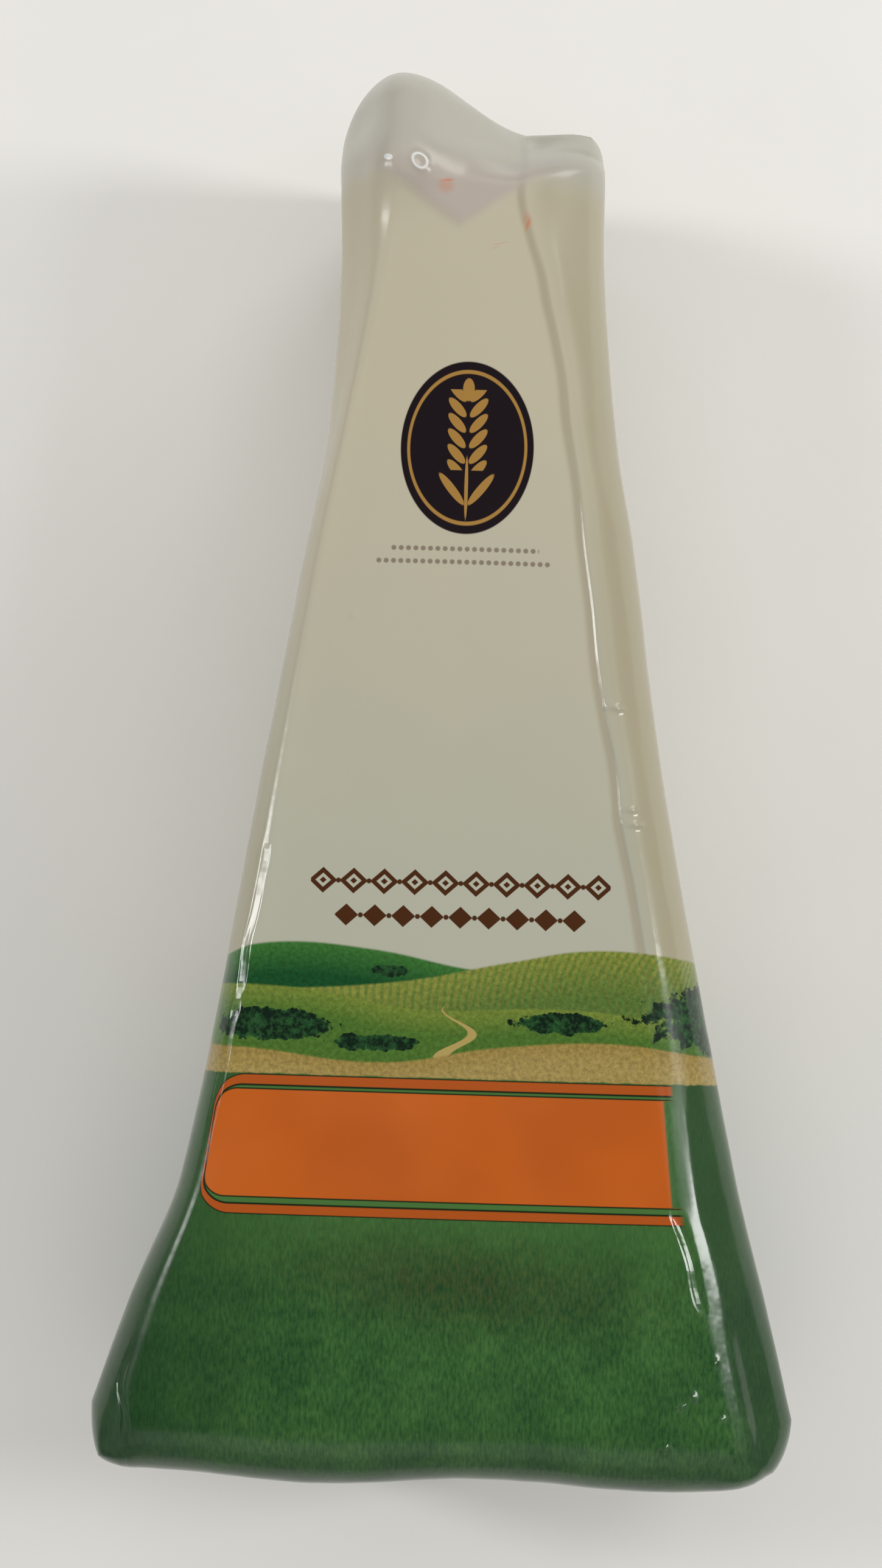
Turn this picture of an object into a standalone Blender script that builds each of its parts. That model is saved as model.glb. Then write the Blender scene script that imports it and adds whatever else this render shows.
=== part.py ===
"""An aged cheese chunk sealed in a printed shrink bag, as one closed solid.

Units are metres and +Z is up. The pack lies on its back: the broad printed face looks up, the rind end is
towards -Y, and the narrow end, where the bag's tail is folded over, is towards +Y. Lengths along the pack
are measured from the rind end, and lengths across it from its middle line, with the right side positive.
"""

import math
from typing import NamedTuple

import bmesh
import bpy


class Section(NamedTuple):
    """The pack at one distance from the rind end: the reach of its left and right sides, and the width of
    the rounded shoulders between the flat face and those sides."""

    along: float
    left: float
    right: float
    left_shoulder: float
    right_shoulder: float


class Crease(NamedTuple):
    """A soft crease of the bag's tail, from one point to another, each across, along and up."""

    start: tuple
    end: tuple
    width: float
    depth: float


# Driving dimensions
THICKNESS_AT_RIND = 0.0740
THICKNESS_AT_TIP = 0.0690
EAR_END_AT = 0.1998  # the right of the narrow end; the lobe at its left reaches further

# The outline seen from above, from the rind end to the tip: it flares at the rind, tapers evenly along the
# cut sides, and runs parallel at the tip, where the bag stands off the cheese
SECTIONS = (
    Section(0.008, 0.0498, 0.0492, 0.0076, 0.0116),
    Section(0.024, 0.0446, 0.0453, 0.0054, 0.0112),
    Section(0.042, 0.0380, 0.0407, 0.0044, 0.0098),
    Section(0.098, 0.0292, 0.0295, 0.0036, 0.0074),
    Section(0.134, 0.0236, 0.0243, 0.0032, 0.0076),
    Section(0.150, 0.0212, 0.0216, 0.0036, 0.0086),
    Section(0.176, 0.0202, 0.0192, 0.0078, 0.0114),
    Section(0.190, 0.0208, 0.0192, 0.0094, 0.0120),
)

# Rounding where two sides meet: the shoulders' drop, the lower edge, and the reach at each end
SHOULDER_DROP = 0.0085
BASE_ROUND = 0.0065
RIND_END_ROUND = 0.0095
EAR_END_ROUND = 0.0060
LOBE_END_ROUND = 0.0125
PLAIN_CORNER = 2.0  # exponent of an ordinary rounded corner, a plain arc
RIND_SQUARENESS = 0.9  # what the corners of the rind end add to it
EAR_SQUARENESS = 3.0  # what the ear's corner adds to it, because its film stands square
FLAT_END_AT = EAR_END_AT - EAR_END_ROUND

# The face is a little crowned, and the rind end swells and waves a little
FACE_CROWN = 0.0012
RIND_SWELL = 0.0016
RIND_WAVE = 0.0006
RIND_WAVE_LENGTH = 0.0480
RIND_WAVE_CREST_AT = -0.0180

# The narrow end: the face breaks off along a ridge and slopes down to the end
RIDGE_AT = 0.1850
SLOPE_DROP = 0.0120

# The bag's tail swells into a lobe at the left of the narrow end: its reach past the ear, its place and
# spread across, and the rise of its top
LOBE_REACH = 0.0090
LOBE_AT = (-0.0126, 0.1985)
LOBE_SPREAD = 0.0132
LOBE_RADIUS = 0.0115
LOBE_RISE = 0.0112

# A groove in the film follows the right edge of the face, with a low welt outside it
GROOVE_DEPTH = 0.0011
GROOVE_WIDTH = 0.0022
WELT_HEIGHT = 0.0008
WELT_OFFSET = 0.0040
GROOVE_FADES_IN = (0.012, 0.040)
GROOVE_FADES_OUT = (0.172, 0.188)

# The tail's pointed flap lies on the face, its tip towards the rind end
FLAP_TIP = (-0.0018, 0.1790)
FLAP_LEFT = (-0.0125, 0.1862)
FLAP_RIGHT = (0.0085, 0.1865)
FLAP_RISE = 0.0010
FLAP_EDGE = 0.0020

# The lobe is creased off from the face below it and from the ear beside it
CREASES = (
    Crease((-0.0150, 0.1872, 0.067), (-0.0040, 0.1880, 0.068), 0.0034, 0.0015),
    Crease((-0.0040, 0.1880, 0.068), (0.0054, 0.1902, 0.065), 0.0034, 0.0017),
    Crease((0.0054, 0.1902, 0.065), (0.0092, 0.1972, 0.058), 0.0030, 0.0017),
)

# Steps of the mesh: on each rounded edge, and on the flat between the edges, across, along and up. They
# are closer together towards the groove at the right, and towards the tip.
EDGE_STEPS = 3
STEPS_ACROSS = 12
STEPS_ALONG = 50
STEPS_UP = 6
CLOSER_AT_GROOVE = 0.6
CLOSER_AT_TIP = 0.65

# The print's fields of colour, by distance from the rind end, and their colours
HILLS_TOP_AT = 0.0740
PANEL_BAND = (0.0360, 0.0560)
PANEL_REACH = 0.0310
CREAM = (0.60, 0.56, 0.43)
GREEN = (0.06, 0.15, 0.05)
ORANGE = (0.58, 0.17, 0.03)
FILM_ROUGHNESS = 0.18
FACING_UP = 0.5  # least upward part of a face's direction for it to carry the panel


def clear_scene():
    """Removes every object of the startup scene."""
    for thing in list(bpy.data.objects):
        bpy.data.objects.remove(thing)


def smooth_step(low, high, value):
    """Rises smoothly from 0 at low to 1 at high."""
    share = min(1.0, max(0.0, (value - low) / (high - low)))
    return share * share * (3.0 - 2.0 * share)


def mix(first, second, share):
    """The value that lies this share of the way from first to second."""
    return first + (second - first) * share


def bell(distance, width):
    """A bump of height 1 at distance 0, faded out past about twice its width."""
    return math.exp(-((distance / width) ** 2))


def slope_at(index):
    """The change of each section size with distance along the pack, at one section."""
    before = SECTIONS[max(index - 1, 0)]
    after = SECTIONS[min(index + 1, len(SECTIONS) - 1)]
    return [(b - a) / (after.along - before.along) for a, b in zip(before[1:], after[1:])]


def section(along):
    """The section at any distance from the rind end, on a smooth curve through the given ones."""
    if along <= SECTIONS[0].along:
        return SECTIONS[0]
    if along >= SECTIONS[-1].along:
        return SECTIONS[-1]
    index = max(i for i, row in enumerate(SECTIONS) if row.along <= along)
    start, end = SECTIONS[index], SECTIONS[index + 1]
    gap = end.along - start.along
    t = (along - start.along) / gap
    weights = (
        2 * t**3 - 3 * t**2 + 1,
        (t**3 - 2 * t**2 + t) * gap,
        3 * t**2 - 2 * t**3,
        (t**3 - t**2) * gap,
    )
    rows = zip(start[1:], slope_at(index), end[1:], slope_at(index + 1))
    return Section(along, *[sum(w * v for w, v in zip(weights, row)) for row in rows])


def axis_lines(inner_steps, closeness):
    """The mesh lines along one axis, each as its place between the rounded edges, from 0 to 1, and how far
    it is round an edge, from -1 at the low side to 1 at the high side. A closeness of 0 spaces the lines
    evenly, and nearer to 1 draws them together towards the high side."""
    turns = [math.tan(math.radians(45.0 * i / EDGE_STEPS)) for i in range(1, EDGE_STEPS + 1)]
    low = [(0.0, -turn) for turn in reversed(turns)]
    even = [i / inner_steps for i in range(inner_steps + 1)]
    middle = [(mix(t, 1.0 - (1.0 - t) ** 2, closeness), 0.0) for t in even]
    high = [(1.0, turn) for turn in turns]
    return low + middle + high


def cut_along(mesh, axis, pieces):
    """Cuts every edge of a box that runs along one axis into equal pieces."""
    edges = []
    for edge in mesh.edges:
        run = edge.verts[1].co - edge.verts[0].co
        if abs(run[axis]) > 0.5 * run.length:
            edges.append(edge)
    bmesh.ops.subdivide_edges(mesh, edges=edges, cuts=pieces - 1, use_grid_fill=True)


def lobe_share(across):
    """How much of the lobe there is at one place across the pack: 1 at its middle, 0 away from it."""
    return bell(across - LOBE_AT[0], LOBE_SPREAD)


def face_height(across, along):
    """Height of the pack's upper side, before its edges are rounded."""
    height = mix(THICKNESS_AT_RIND, THICKNESS_AT_TIP, along / RIDGE_AT)
    height -= SLOPE_DROP * smooth_step(RIDGE_AT, EAR_END_AT, along)
    from_lobe = math.hypot(across - LOBE_AT[0], along - LOBE_AT[1])
    return height + LOBE_RISE * bell(from_lobe, LOBE_RADIUS)


def corner_squareness(turns):
    """How much squarer than a plain arc the pack's corner on this side of it is."""
    if turns[1] < 0:
        return RIND_SQUARENESS
    return EAR_SQUARENESS if turns[0] > 0 else 0.0


def rounded(turns, squareness):
    """A direction out of a rounded edge or corner, from how far it is round each axis."""
    power = PLAIN_CORNER + squareness * abs(turns[0] * turns[1])
    size = sum(abs(turn) ** power for turn in turns) ** (1.0 / power)
    return [turn / size for turn in turns]


def rind_end_reach(across, up):
    """How far the rounding of the rind end reaches: it swells at half height, and waves across."""
    swell = RIND_SWELL * 4.0 * up * (1.0 - up)
    wave = RIND_WAVE * math.cos(math.tau * (across - RIND_WAVE_CREST_AT) / RIND_WAVE_LENGTH)
    return RIND_END_ROUND + swell + wave


def at_tip(across, along):
    """Where a place along the flat of the pack is once the lobe is drawn out past the ear, and how far the
    rounding of the narrow end reaches there."""
    share = lobe_share(across)
    end_round = mix(EAR_END_ROUND, LOBE_END_ROUND, share)
    further = share * LOBE_REACH - (end_round - EAR_END_ROUND)
    return along + further * smooth_step(RIDGE_AT - LOBE_RADIUS, FLAT_END_AT, along), end_round


def place(places, turns):
    """The point of the pack for one point of the box, and the direction out of the pack there."""
    out = rounded(turns, corner_squareness(turns))
    plain_along = mix(RIND_END_ROUND, FLAT_END_AT, places[1])
    sizes = section(plain_along)
    up = places[2]
    left_round = mix(BASE_ROUND, sizes.left_shoulder, up)
    right_round = mix(BASE_ROUND, sizes.right_shoulder, up)
    across = mix(left_round - sizes.left, sizes.right - right_round, places[0])
    across += out[0] * (right_round if out[0] > 0 else left_round)
    along, tip_round = at_tip(across, plain_along)
    along += out[1] * (tip_round if out[1] > 0 else rind_end_reach(across, up))
    top = face_height(across, along) - SHOULDER_DROP
    height = mix(BASE_ROUND, top, up)
    height += out[2] * (SHOULDER_DROP if out[2] > 0 else BASE_ROUND)
    return [across, along, height], out


def line_distance(point, start, end):
    """Distance from a point to a straight run between two points."""
    run = [b - a for a, b in zip(start, end)]
    off = [p - a for p, a in zip(point, start)]
    share = sum(o * r for o, r in zip(off, run)) / sum(r * r for r in run)
    share = min(1.0, max(0.0, share))
    return math.sqrt(sum((o - r * share) ** 2 for o, r in zip(off, run)))


def inside_flap(across, along):
    """How far inside the flap's pointed outline a place on the face is, negative outside it."""
    depth = LOBE_RADIUS
    for corner, side in ((FLAP_LEFT, 1.0), (FLAP_RIGHT, -1.0)):
        run = (corner[0] - FLAP_TIP[0], corner[1] - FLAP_TIP[1])
        off = (across - FLAP_TIP[0], along - FLAP_TIP[1])
        cross = run[1] * off[0] - run[0] * off[1]
        depth = min(depth, side * cross / math.hypot(*run))
    return depth


def relief(point, out):
    """How far the film stands proud of the plain form at a point, and below it where negative."""
    across, along, _ = point
    sizes = section(along)
    half = (sizes.right + sizes.left) / 2.0
    off_middle = (across - sizes.right + half) / half
    crown = FACE_CROWN * max(0.0, 1.0 - off_middle**2)
    from_edge = across - sizes.right + sizes.right_shoulder
    groove = WELT_HEIGHT * bell(from_edge - WELT_OFFSET, GROOVE_WIDTH)
    groove -= GROOVE_DEPTH * bell(from_edge, GROOVE_WIDTH)
    groove *= smooth_step(*GROOVE_FADES_IN, along) * (1.0 - smooth_step(*GROOVE_FADES_OUT, along))
    flap = FLAP_RISE * smooth_step(-FLAP_EDGE, FLAP_EDGE, inside_flap(across, along))
    flap *= 1.0 - smooth_step(RIDGE_AT, EAR_END_AT, along)
    height = max(0.0, out[2]) * (crown + groove + flap)
    if out[2] >= 0:
        for crease in CREASES:
            away = line_distance(point, crease.start, crease.end)
            height -= crease.depth * bell(away, crease.width)
    return height


def shape_pack(mesh):
    """Cuts a unit box into steps and moves each of its points to its place on the pack."""
    lines = (
        axis_lines(STEPS_ACROSS, CLOSER_AT_GROOVE),
        axis_lines(STEPS_ALONG, CLOSER_AT_TIP),
        axis_lines(STEPS_UP, 0.0),
    )
    for axis, found in enumerate(lines):
        cut_along(mesh, axis, len(found) - 1)
    for vert in mesh.verts:
        found = [row[round((c + 0.5) * (len(row) - 1))] for row, c in zip(lines, vert.co)]
        point, out = place([row[0] for row in found], [row[1] for row in found])
        proud = relief(point, out)
        vert.co = [p + o * proud for p, o in zip(point, out)]


def centre_on_base(mesh):
    """Moves the pack so that the middle of its base box is the origin, and gives the move."""
    low = [min(v.co[axis] for v in mesh.verts) for axis in range(3)]
    high = [max(v.co[axis] for v in mesh.verts) for axis in range(3)]
    shift = [-(low[0] + high[0]) / 2.0, -(low[1] + high[1]) / 2.0, -low[2]]
    bmesh.ops.translate(mesh, verts=mesh.verts, vec=shift)
    return shift


def film(name, colour):
    """A glossy printed film of one colour."""
    material = bpy.data.materials.new(name)
    material.use_nodes = True
    shader = material.node_tree.nodes["Principled BSDF"]
    shader.inputs["Base Color"].default_value = (*colour, 1.0)
    shader.inputs["Roughness"].default_value = FILM_ROUGHNESS
    shader.inputs["Metallic"].default_value = 0.0
    return material


def paint(data, shift):
    """Gives each face of the mesh the film of its field of the print."""
    for name, colour in (("cream_film", CREAM), ("green_film", GREEN), ("orange_film", ORANGE)):
        data.materials.append(film(name, colour))
    for face in data.polygons:
        along = face.center.y - shift[1]
        across = face.center.x - shift[0]
        on_panel = PANEL_BAND[0] < along < PANEL_BAND[1] and abs(across) < PANEL_REACH
        if on_panel and face.normal.z > FACING_UP:
            face.material_index = 2
        else:
            face.material_index = 1 if along < HILLS_TOP_AT else 0


def build_pack():
    """The sealed pack as one named object in a collection of its own."""
    mesh = bmesh.new()
    bmesh.ops.create_cube(mesh, size=1.0)
    shape_pack(mesh)
    shift = centre_on_base(mesh)
    data = bpy.data.meshes.new("wedge_pack")
    mesh.to_mesh(data)
    mesh.free()
    paint(data, shift)
    data.shade_smooth()
    pack = bpy.data.objects.new("wedge_pack", data)
    group = bpy.data.collections.new("aged_cheese_chunk")
    bpy.context.scene.collection.children.link(group)
    group.objects.link(pack)


clear_scene()
build_pack()
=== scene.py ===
"""The looks of a wedge of aged hard cheese in a printed shrink bag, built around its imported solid.

Sizes in the classes are millimetres. A place on the pack is given across, along and up: across from the
middle line with the right side positive, along from the wide rind end to the narrow folded end, and up from
the base. A place on the print is given from the middle of the pack's box: x to the right, and y towards the
narrow end. Blender's own objects are in metres.
"""

from __future__ import annotations

import logging
import math
from dataclasses import dataclass, field
from enum import Enum
from functools import partial
from typing import Any, Callable, Sequence, Union

import bpy
import numpy as np
from mathutils import Matrix, Vector


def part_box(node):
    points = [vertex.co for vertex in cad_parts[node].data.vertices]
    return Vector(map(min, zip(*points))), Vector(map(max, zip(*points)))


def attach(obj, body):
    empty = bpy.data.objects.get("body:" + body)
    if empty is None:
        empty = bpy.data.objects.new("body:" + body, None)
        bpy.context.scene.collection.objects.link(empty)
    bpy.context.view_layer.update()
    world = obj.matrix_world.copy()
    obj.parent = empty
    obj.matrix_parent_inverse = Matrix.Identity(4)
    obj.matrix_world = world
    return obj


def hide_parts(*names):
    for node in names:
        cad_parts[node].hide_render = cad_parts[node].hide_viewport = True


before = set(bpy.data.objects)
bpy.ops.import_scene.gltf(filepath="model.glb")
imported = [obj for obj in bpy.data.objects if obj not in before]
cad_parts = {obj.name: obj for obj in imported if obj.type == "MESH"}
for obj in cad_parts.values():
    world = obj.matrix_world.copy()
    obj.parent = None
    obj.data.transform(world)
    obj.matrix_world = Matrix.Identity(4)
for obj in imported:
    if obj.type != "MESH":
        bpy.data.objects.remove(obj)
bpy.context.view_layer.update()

LOG = logging.getLogger("cheese_pack")
MM = 0.001
NODE = "wedge_pack"
BODY = "root"
Number = Union[float, np.ndarray]
Socket = bpy.types.NodeSocket
Feed = Union[Socket, float, Sequence[float], str, None]
Point = tuple[float, float]
Curve = tuple[Point, ...]
Spacing = Callable[[np.ndarray], np.ndarray]
EASED = {"interpolation_type": "SMOOTHSTEP"}


def add_node(tree: bpy.types.NodeTree, kind: str, *feeds: Feed, give: int = 0, **settings: Any) -> Socket:
    """Adds one node with its settings and links.

    Args:
        tree: The tree that gets the node.
        kind: Blender's name for the node's type.
        feeds: What goes into the inputs in use, in their order: a link, a value, or None to leave one.
        give: Which of the outputs in use is wanted.
        settings: The node's own properties.

    Returns:
        The output asked for.
    """
    node = tree.nodes.new(kind)
    for name, value in settings.items():
        setattr(node, name, value)
    for socket, feed in zip([s for s in node.inputs if s.enabled], feeds):
        if isinstance(feed, bpy.types.NodeSocket):
            tree.links.new(feed, socket)
        elif feed is not None:
            socket.default_value = feed
    found = [s for s in node.outputs if s.enabled]
    return found[give] if found else None


def shape_curve(drawn: Socket, places: Sequence[Point]) -> None:
    """Puts the points of a drawn curve in place.

    Args:
        drawn: The output of the curve's node.
        places: Where its points go, from left to right, each from 0 to 1 both ways.
    """
    mapping = drawn.node.mapping
    points = mapping.curves[0].points
    while len(points) < len(places):
        points.new(0.5, 0.5)
    for point, place in zip(points, places):
        point.location = place
    mapping.update()


def follow_curve(tree: bpy.types.NodeTree, at: Socket, points: Curve, low: float, high: float) -> Socket:
    """Reads a smooth curve through given points at each place.

    Args:
        tree: The tree that gets the nodes.
        at: Where the curve is read.
        points: The curve's points from left to right, the first and the last equally far from 0.
        low: The least value that the curve can have.
        high: The greatest.

    Returns:
        The curve's value.
    """
    reach = points[-1][0]
    share = add_node(tree, "ShaderNodeMapRange", at, -reach, reach, 0.0, 1.0)
    drawn = add_node(tree, "ShaderNodeFloatCurve", 1.0, share)
    shape_curve(drawn, [((x + reach) / (2.0 * reach), (y - low) / (high - low)) for x, y in points])
    return add_node(tree, "ShaderNodeMapRange", drawn, 0.0, 1.0, low, high)


def from_oval(tree: bpy.types.NodeTree, place: Socket, middle: Point, half: Point, turn: float) -> Socket:
    """How far out from the middle of an oval each place is.

    Args:
        tree: The tree that gets the nodes.
        place: The places.
        middle: The oval's middle.
        half: Its half width and half height.
        turn: How far it is turned, in degrees.

    Returns:
        0 at the middle and 1 on the outline.
    """
    turned = (0.0, 0.0, math.radians(turn))
    size = (*half, 1.0)
    spot = add_node(tree, "ShaderNodeMapping", place, (*middle, 0.0), turned, size, vector_type="TEXTURE")
    return add_node(tree, "ShaderNodeVectorMath", spot, operation="LENGTH")


def linear(code: str) -> tuple[float, float, float, float]:
    """Turns an sRGB hex value into the linear colour that shaders work in.

    Args:
        code: The colour as # and six hex digits.

    Returns:
        Its linear red, green and blue, and full alpha.
    """
    parts = [int(code[i : i + 2], 16) / 255.0 for i in (1, 3, 5)]
    made = [c / 12.92 if c <= 0.04045 else ((c + 0.055) / 1.055) ** 2.4 for c in parts]
    return (made[0], made[1], made[2], 1.0)


class Ink(Enum):
    """The colours of the print and the film, as sRGB hex values, with a few that stand for painted shade or
    a painted highlight.
    """

    CREAM = "#bcb49d"
    CREAM_COOL = "#b0af9d"
    # Painted shade: the darker, yellower cream of the sides and shoulders
    CREAM_SIDE_SHADE = "#a39b80"
    # Partly painted shade: the dark line in the groove's crease, partly the film doubled there
    FOLD_SHADE = "#9a8f78"
    FILM_GREY = "#b1a59d"
    SMUDGE = "#c07a58"
    AUBERGINE = "#191116"
    GOLD = "#a27a3c"
    RULE = "#857a69"
    CHOCOLATE = "#47260f"
    OLIVE = "#929540"
    OLIVE_DEEP = "#647835"
    EMERALD = "#164f28"
    EMERALD_LIGHT = "#3f7834"
    MEADOW = "#4f752c"
    MEADOW_LIGHT = "#7b8d38"
    BUSH = "#0b1f12"
    BUSH_LIGHT = "#27522a"
    WHEAT = "#a38a48"
    PATH = "#ab9556"
    ORANGE = "#bf5d1a"
    ORANGE_DEEP = "#aa4f16"
    LINE = "#16240f"
    GRASS = "#2c5529"
    GRASS_LIGHT = "#456d35"
    GRASS_DARK = "#193d1f"
    GRASS_BROWN = "#424526"
    # Painted shade: the darker grass round the sides and towards the left
    GRASS_SIDE_SHADE = "#123219"
    SHADE = "#8f8f80"
    DOUBLED = "#b0aea5"
    # Painted highlight: the pale tail blisters, partly film lifted off the print
    AIR_AND_GLINT = "#dcdcd9"
    FLOOR = "#eeece8"
    FLOOR_THIN = "#e9e7e2"

    @property
    def colour(self) -> tuple[float, float, float, float]:
        """The colour in linear values."""
        return linear(self.value)


def smooth_step(low: float, high: float, value: Number) -> Number:
    """Rises smoothly from 0 at low to 1 at high."""
    share = np.clip((value - low) / (high - low), 0.0, 1.0)
    return share * share * (3.0 - 2.0 * share)


def plateau(rise: Point, fall: Point, value: Number) -> Number:
    """Rises smoothly to 1 over the first stretch, and falls back to 0 over the second."""
    return smooth_step(*rise, value) * (1.0 - smooth_step(*fall, value))


def bell(distance: Number, width: float) -> Number:
    """A bump of height 1 at distance 0, faded out past about twice its width."""
    return np.exp(-((distance / width) ** 2))


def mix(first: Number, second: Number, share: Number) -> Number:
    """The value that lies this share of the way from first to second."""
    return first + (second - first) * share


def smooth_path(stations: np.ndarray, values: np.ndarray, at: np.ndarray) -> np.ndarray:
    """Reads a smooth curve through given points, which stays level past its two ends.

    Args:
        stations: Where the points are, rising.
        values: The curve's value at each of them.
        at: Where the curve is wanted.

    Returns:
        Its value at each place.
    """
    count = len(stations)
    before, after = np.maximum(np.arange(count) - 1, 0), np.minimum(np.arange(count) + 1, count - 1)
    slope = (values[after] - values[before]) / (stations[after] - stations[before])
    where = np.clip(at, stations[0], stations[-1])
    index = np.clip(np.searchsorted(stations, where, side="right") - 1, 0, count - 2)
    gap = stations[index + 1] - stations[index]
    t = (where - stations[index]) / gap
    start = (2 * t**3 - 3 * t**2 + 1) * values[index] + (t**3 - 2 * t**2 + t) * gap * slope[index]
    end = (3 * t**2 - 2 * t**3) * values[index + 1] + (t**3 - t**2) * gap * slope[index + 1]
    return start + end


@dataclass(frozen=True)
class Section:
    """The pack at one distance from the rind end: how far each side reaches, and each shoulder's width."""

    along: float
    left: float
    right: float
    left_shoulder: float
    right_shoulder: float


@dataclass(frozen=True)
class Crease:
    """A crease or, with a negative depth, a pleat of the film, from one point to another."""

    start: tuple[float, float, float]
    end: tuple[float, float, float]
    width: float
    depth: float

    def depth_at(self, points: np.ndarray) -> np.ndarray:
        """How deep the crease is at each point.

        Args:
            points: Places across, along and up.

        Returns:
            The depth at each.
        """
        start = np.array(self.start)
        run = np.array(self.end) - start
        share = np.clip(((points - start) @ run) / (run @ run), 0.0, 1.0)
        away = np.linalg.norm(points - start - share[:, None] * run, axis=1)
        return self.depth * bell(away, self.width)


@dataclass
class BoxGrid:
    """Points on the surface of a box cut by lines along each axis, before they take the pack's form.

    Each point has its place between the rounded edges, from 0 to 1 on each axis, and its turn round an
    edge, from -1 to 1 on each axis and 0 on the flat.
    """

    edge_steps: int = 9
    steps_across: int = 80
    steps_along: int = 216
    steps_up: int = 40
    closer_at_sides: float = 0.5
    closer_at_tip: float = 0.4
    places: np.ndarray = field(init=False)
    turns: np.ndarray = field(init=False)
    quads: np.ndarray = field(init=False)

    def axis_lines(self, steps: int, drawn: Spacing) -> tuple[np.ndarray, np.ndarray]:
        """The lines along one axis.

        Args:
            steps: Steps on the flat between the rounded edges.
            drawn: What draws the even places closer together somewhere.

        Returns:
            The lines' places from 0 to 1, and their turns from -1 to 1.
        """
        turns = np.tan(np.radians(45.0 * np.arange(1, self.edge_steps + 1) / self.edge_steps))
        flat = drawn(np.linspace(0.0, 1.0, steps + 1))
        places = np.concatenate([np.zeros(self.edge_steps), flat, np.ones(self.edge_steps)])
        return places, np.concatenate([-turns[::-1], np.zeros(steps + 1), turns])

    def __post_init__(self) -> None:
        """Cuts the box and joins its surface points into quads that face outwards."""
        eased = partial(smooth_step, 0.0, 1.0)
        lines = [
            self.axis_lines(self.steps_across, lambda t: mix(t, eased(t), self.closer_at_sides)),
            self.axis_lines(self.steps_along, lambda t: mix(t, 1.0 - (1.0 - t) ** 2, self.closer_at_tip)),
            self.axis_lines(self.steps_up, lambda t: t),
        ]
        counts = [len(places) for places, _ in lines]
        shell = np.zeros(counts, bool)
        for axis in range(3):
            for side in (0, -1):
                cut: list[Any] = [slice(None)] * 3
                cut[axis] = side
                shell[tuple(cut)] = True
        index = np.full(counts, -1)
        where = np.argwhere(shell)
        index[shell] = np.arange(len(where))
        quads = []
        for axis in range(3):
            for side, outward in ((0, -1), (-1, 1)):
                cut = [slice(None)] * 3
                cut[axis] = side
                sheet = index[tuple(cut)]
                corners = [sheet[:-1, :-1], sheet[1:, :-1], sheet[1:, 1:], sheet[:-1, 1:]]
                turned = outward if axis != 1 else -outward
                quads.append(np.stack(corners if turned > 0 else corners[::-1], axis=-1).reshape(-1, 4))
        self.places = np.stack([lines[axis][0][where[:, axis]] for axis in range(3)], axis=1)
        self.turns = np.stack([lines[axis][1][where[:, axis]] for axis in range(3)], axis=1)
        self.quads = np.concatenate(quads)


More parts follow.
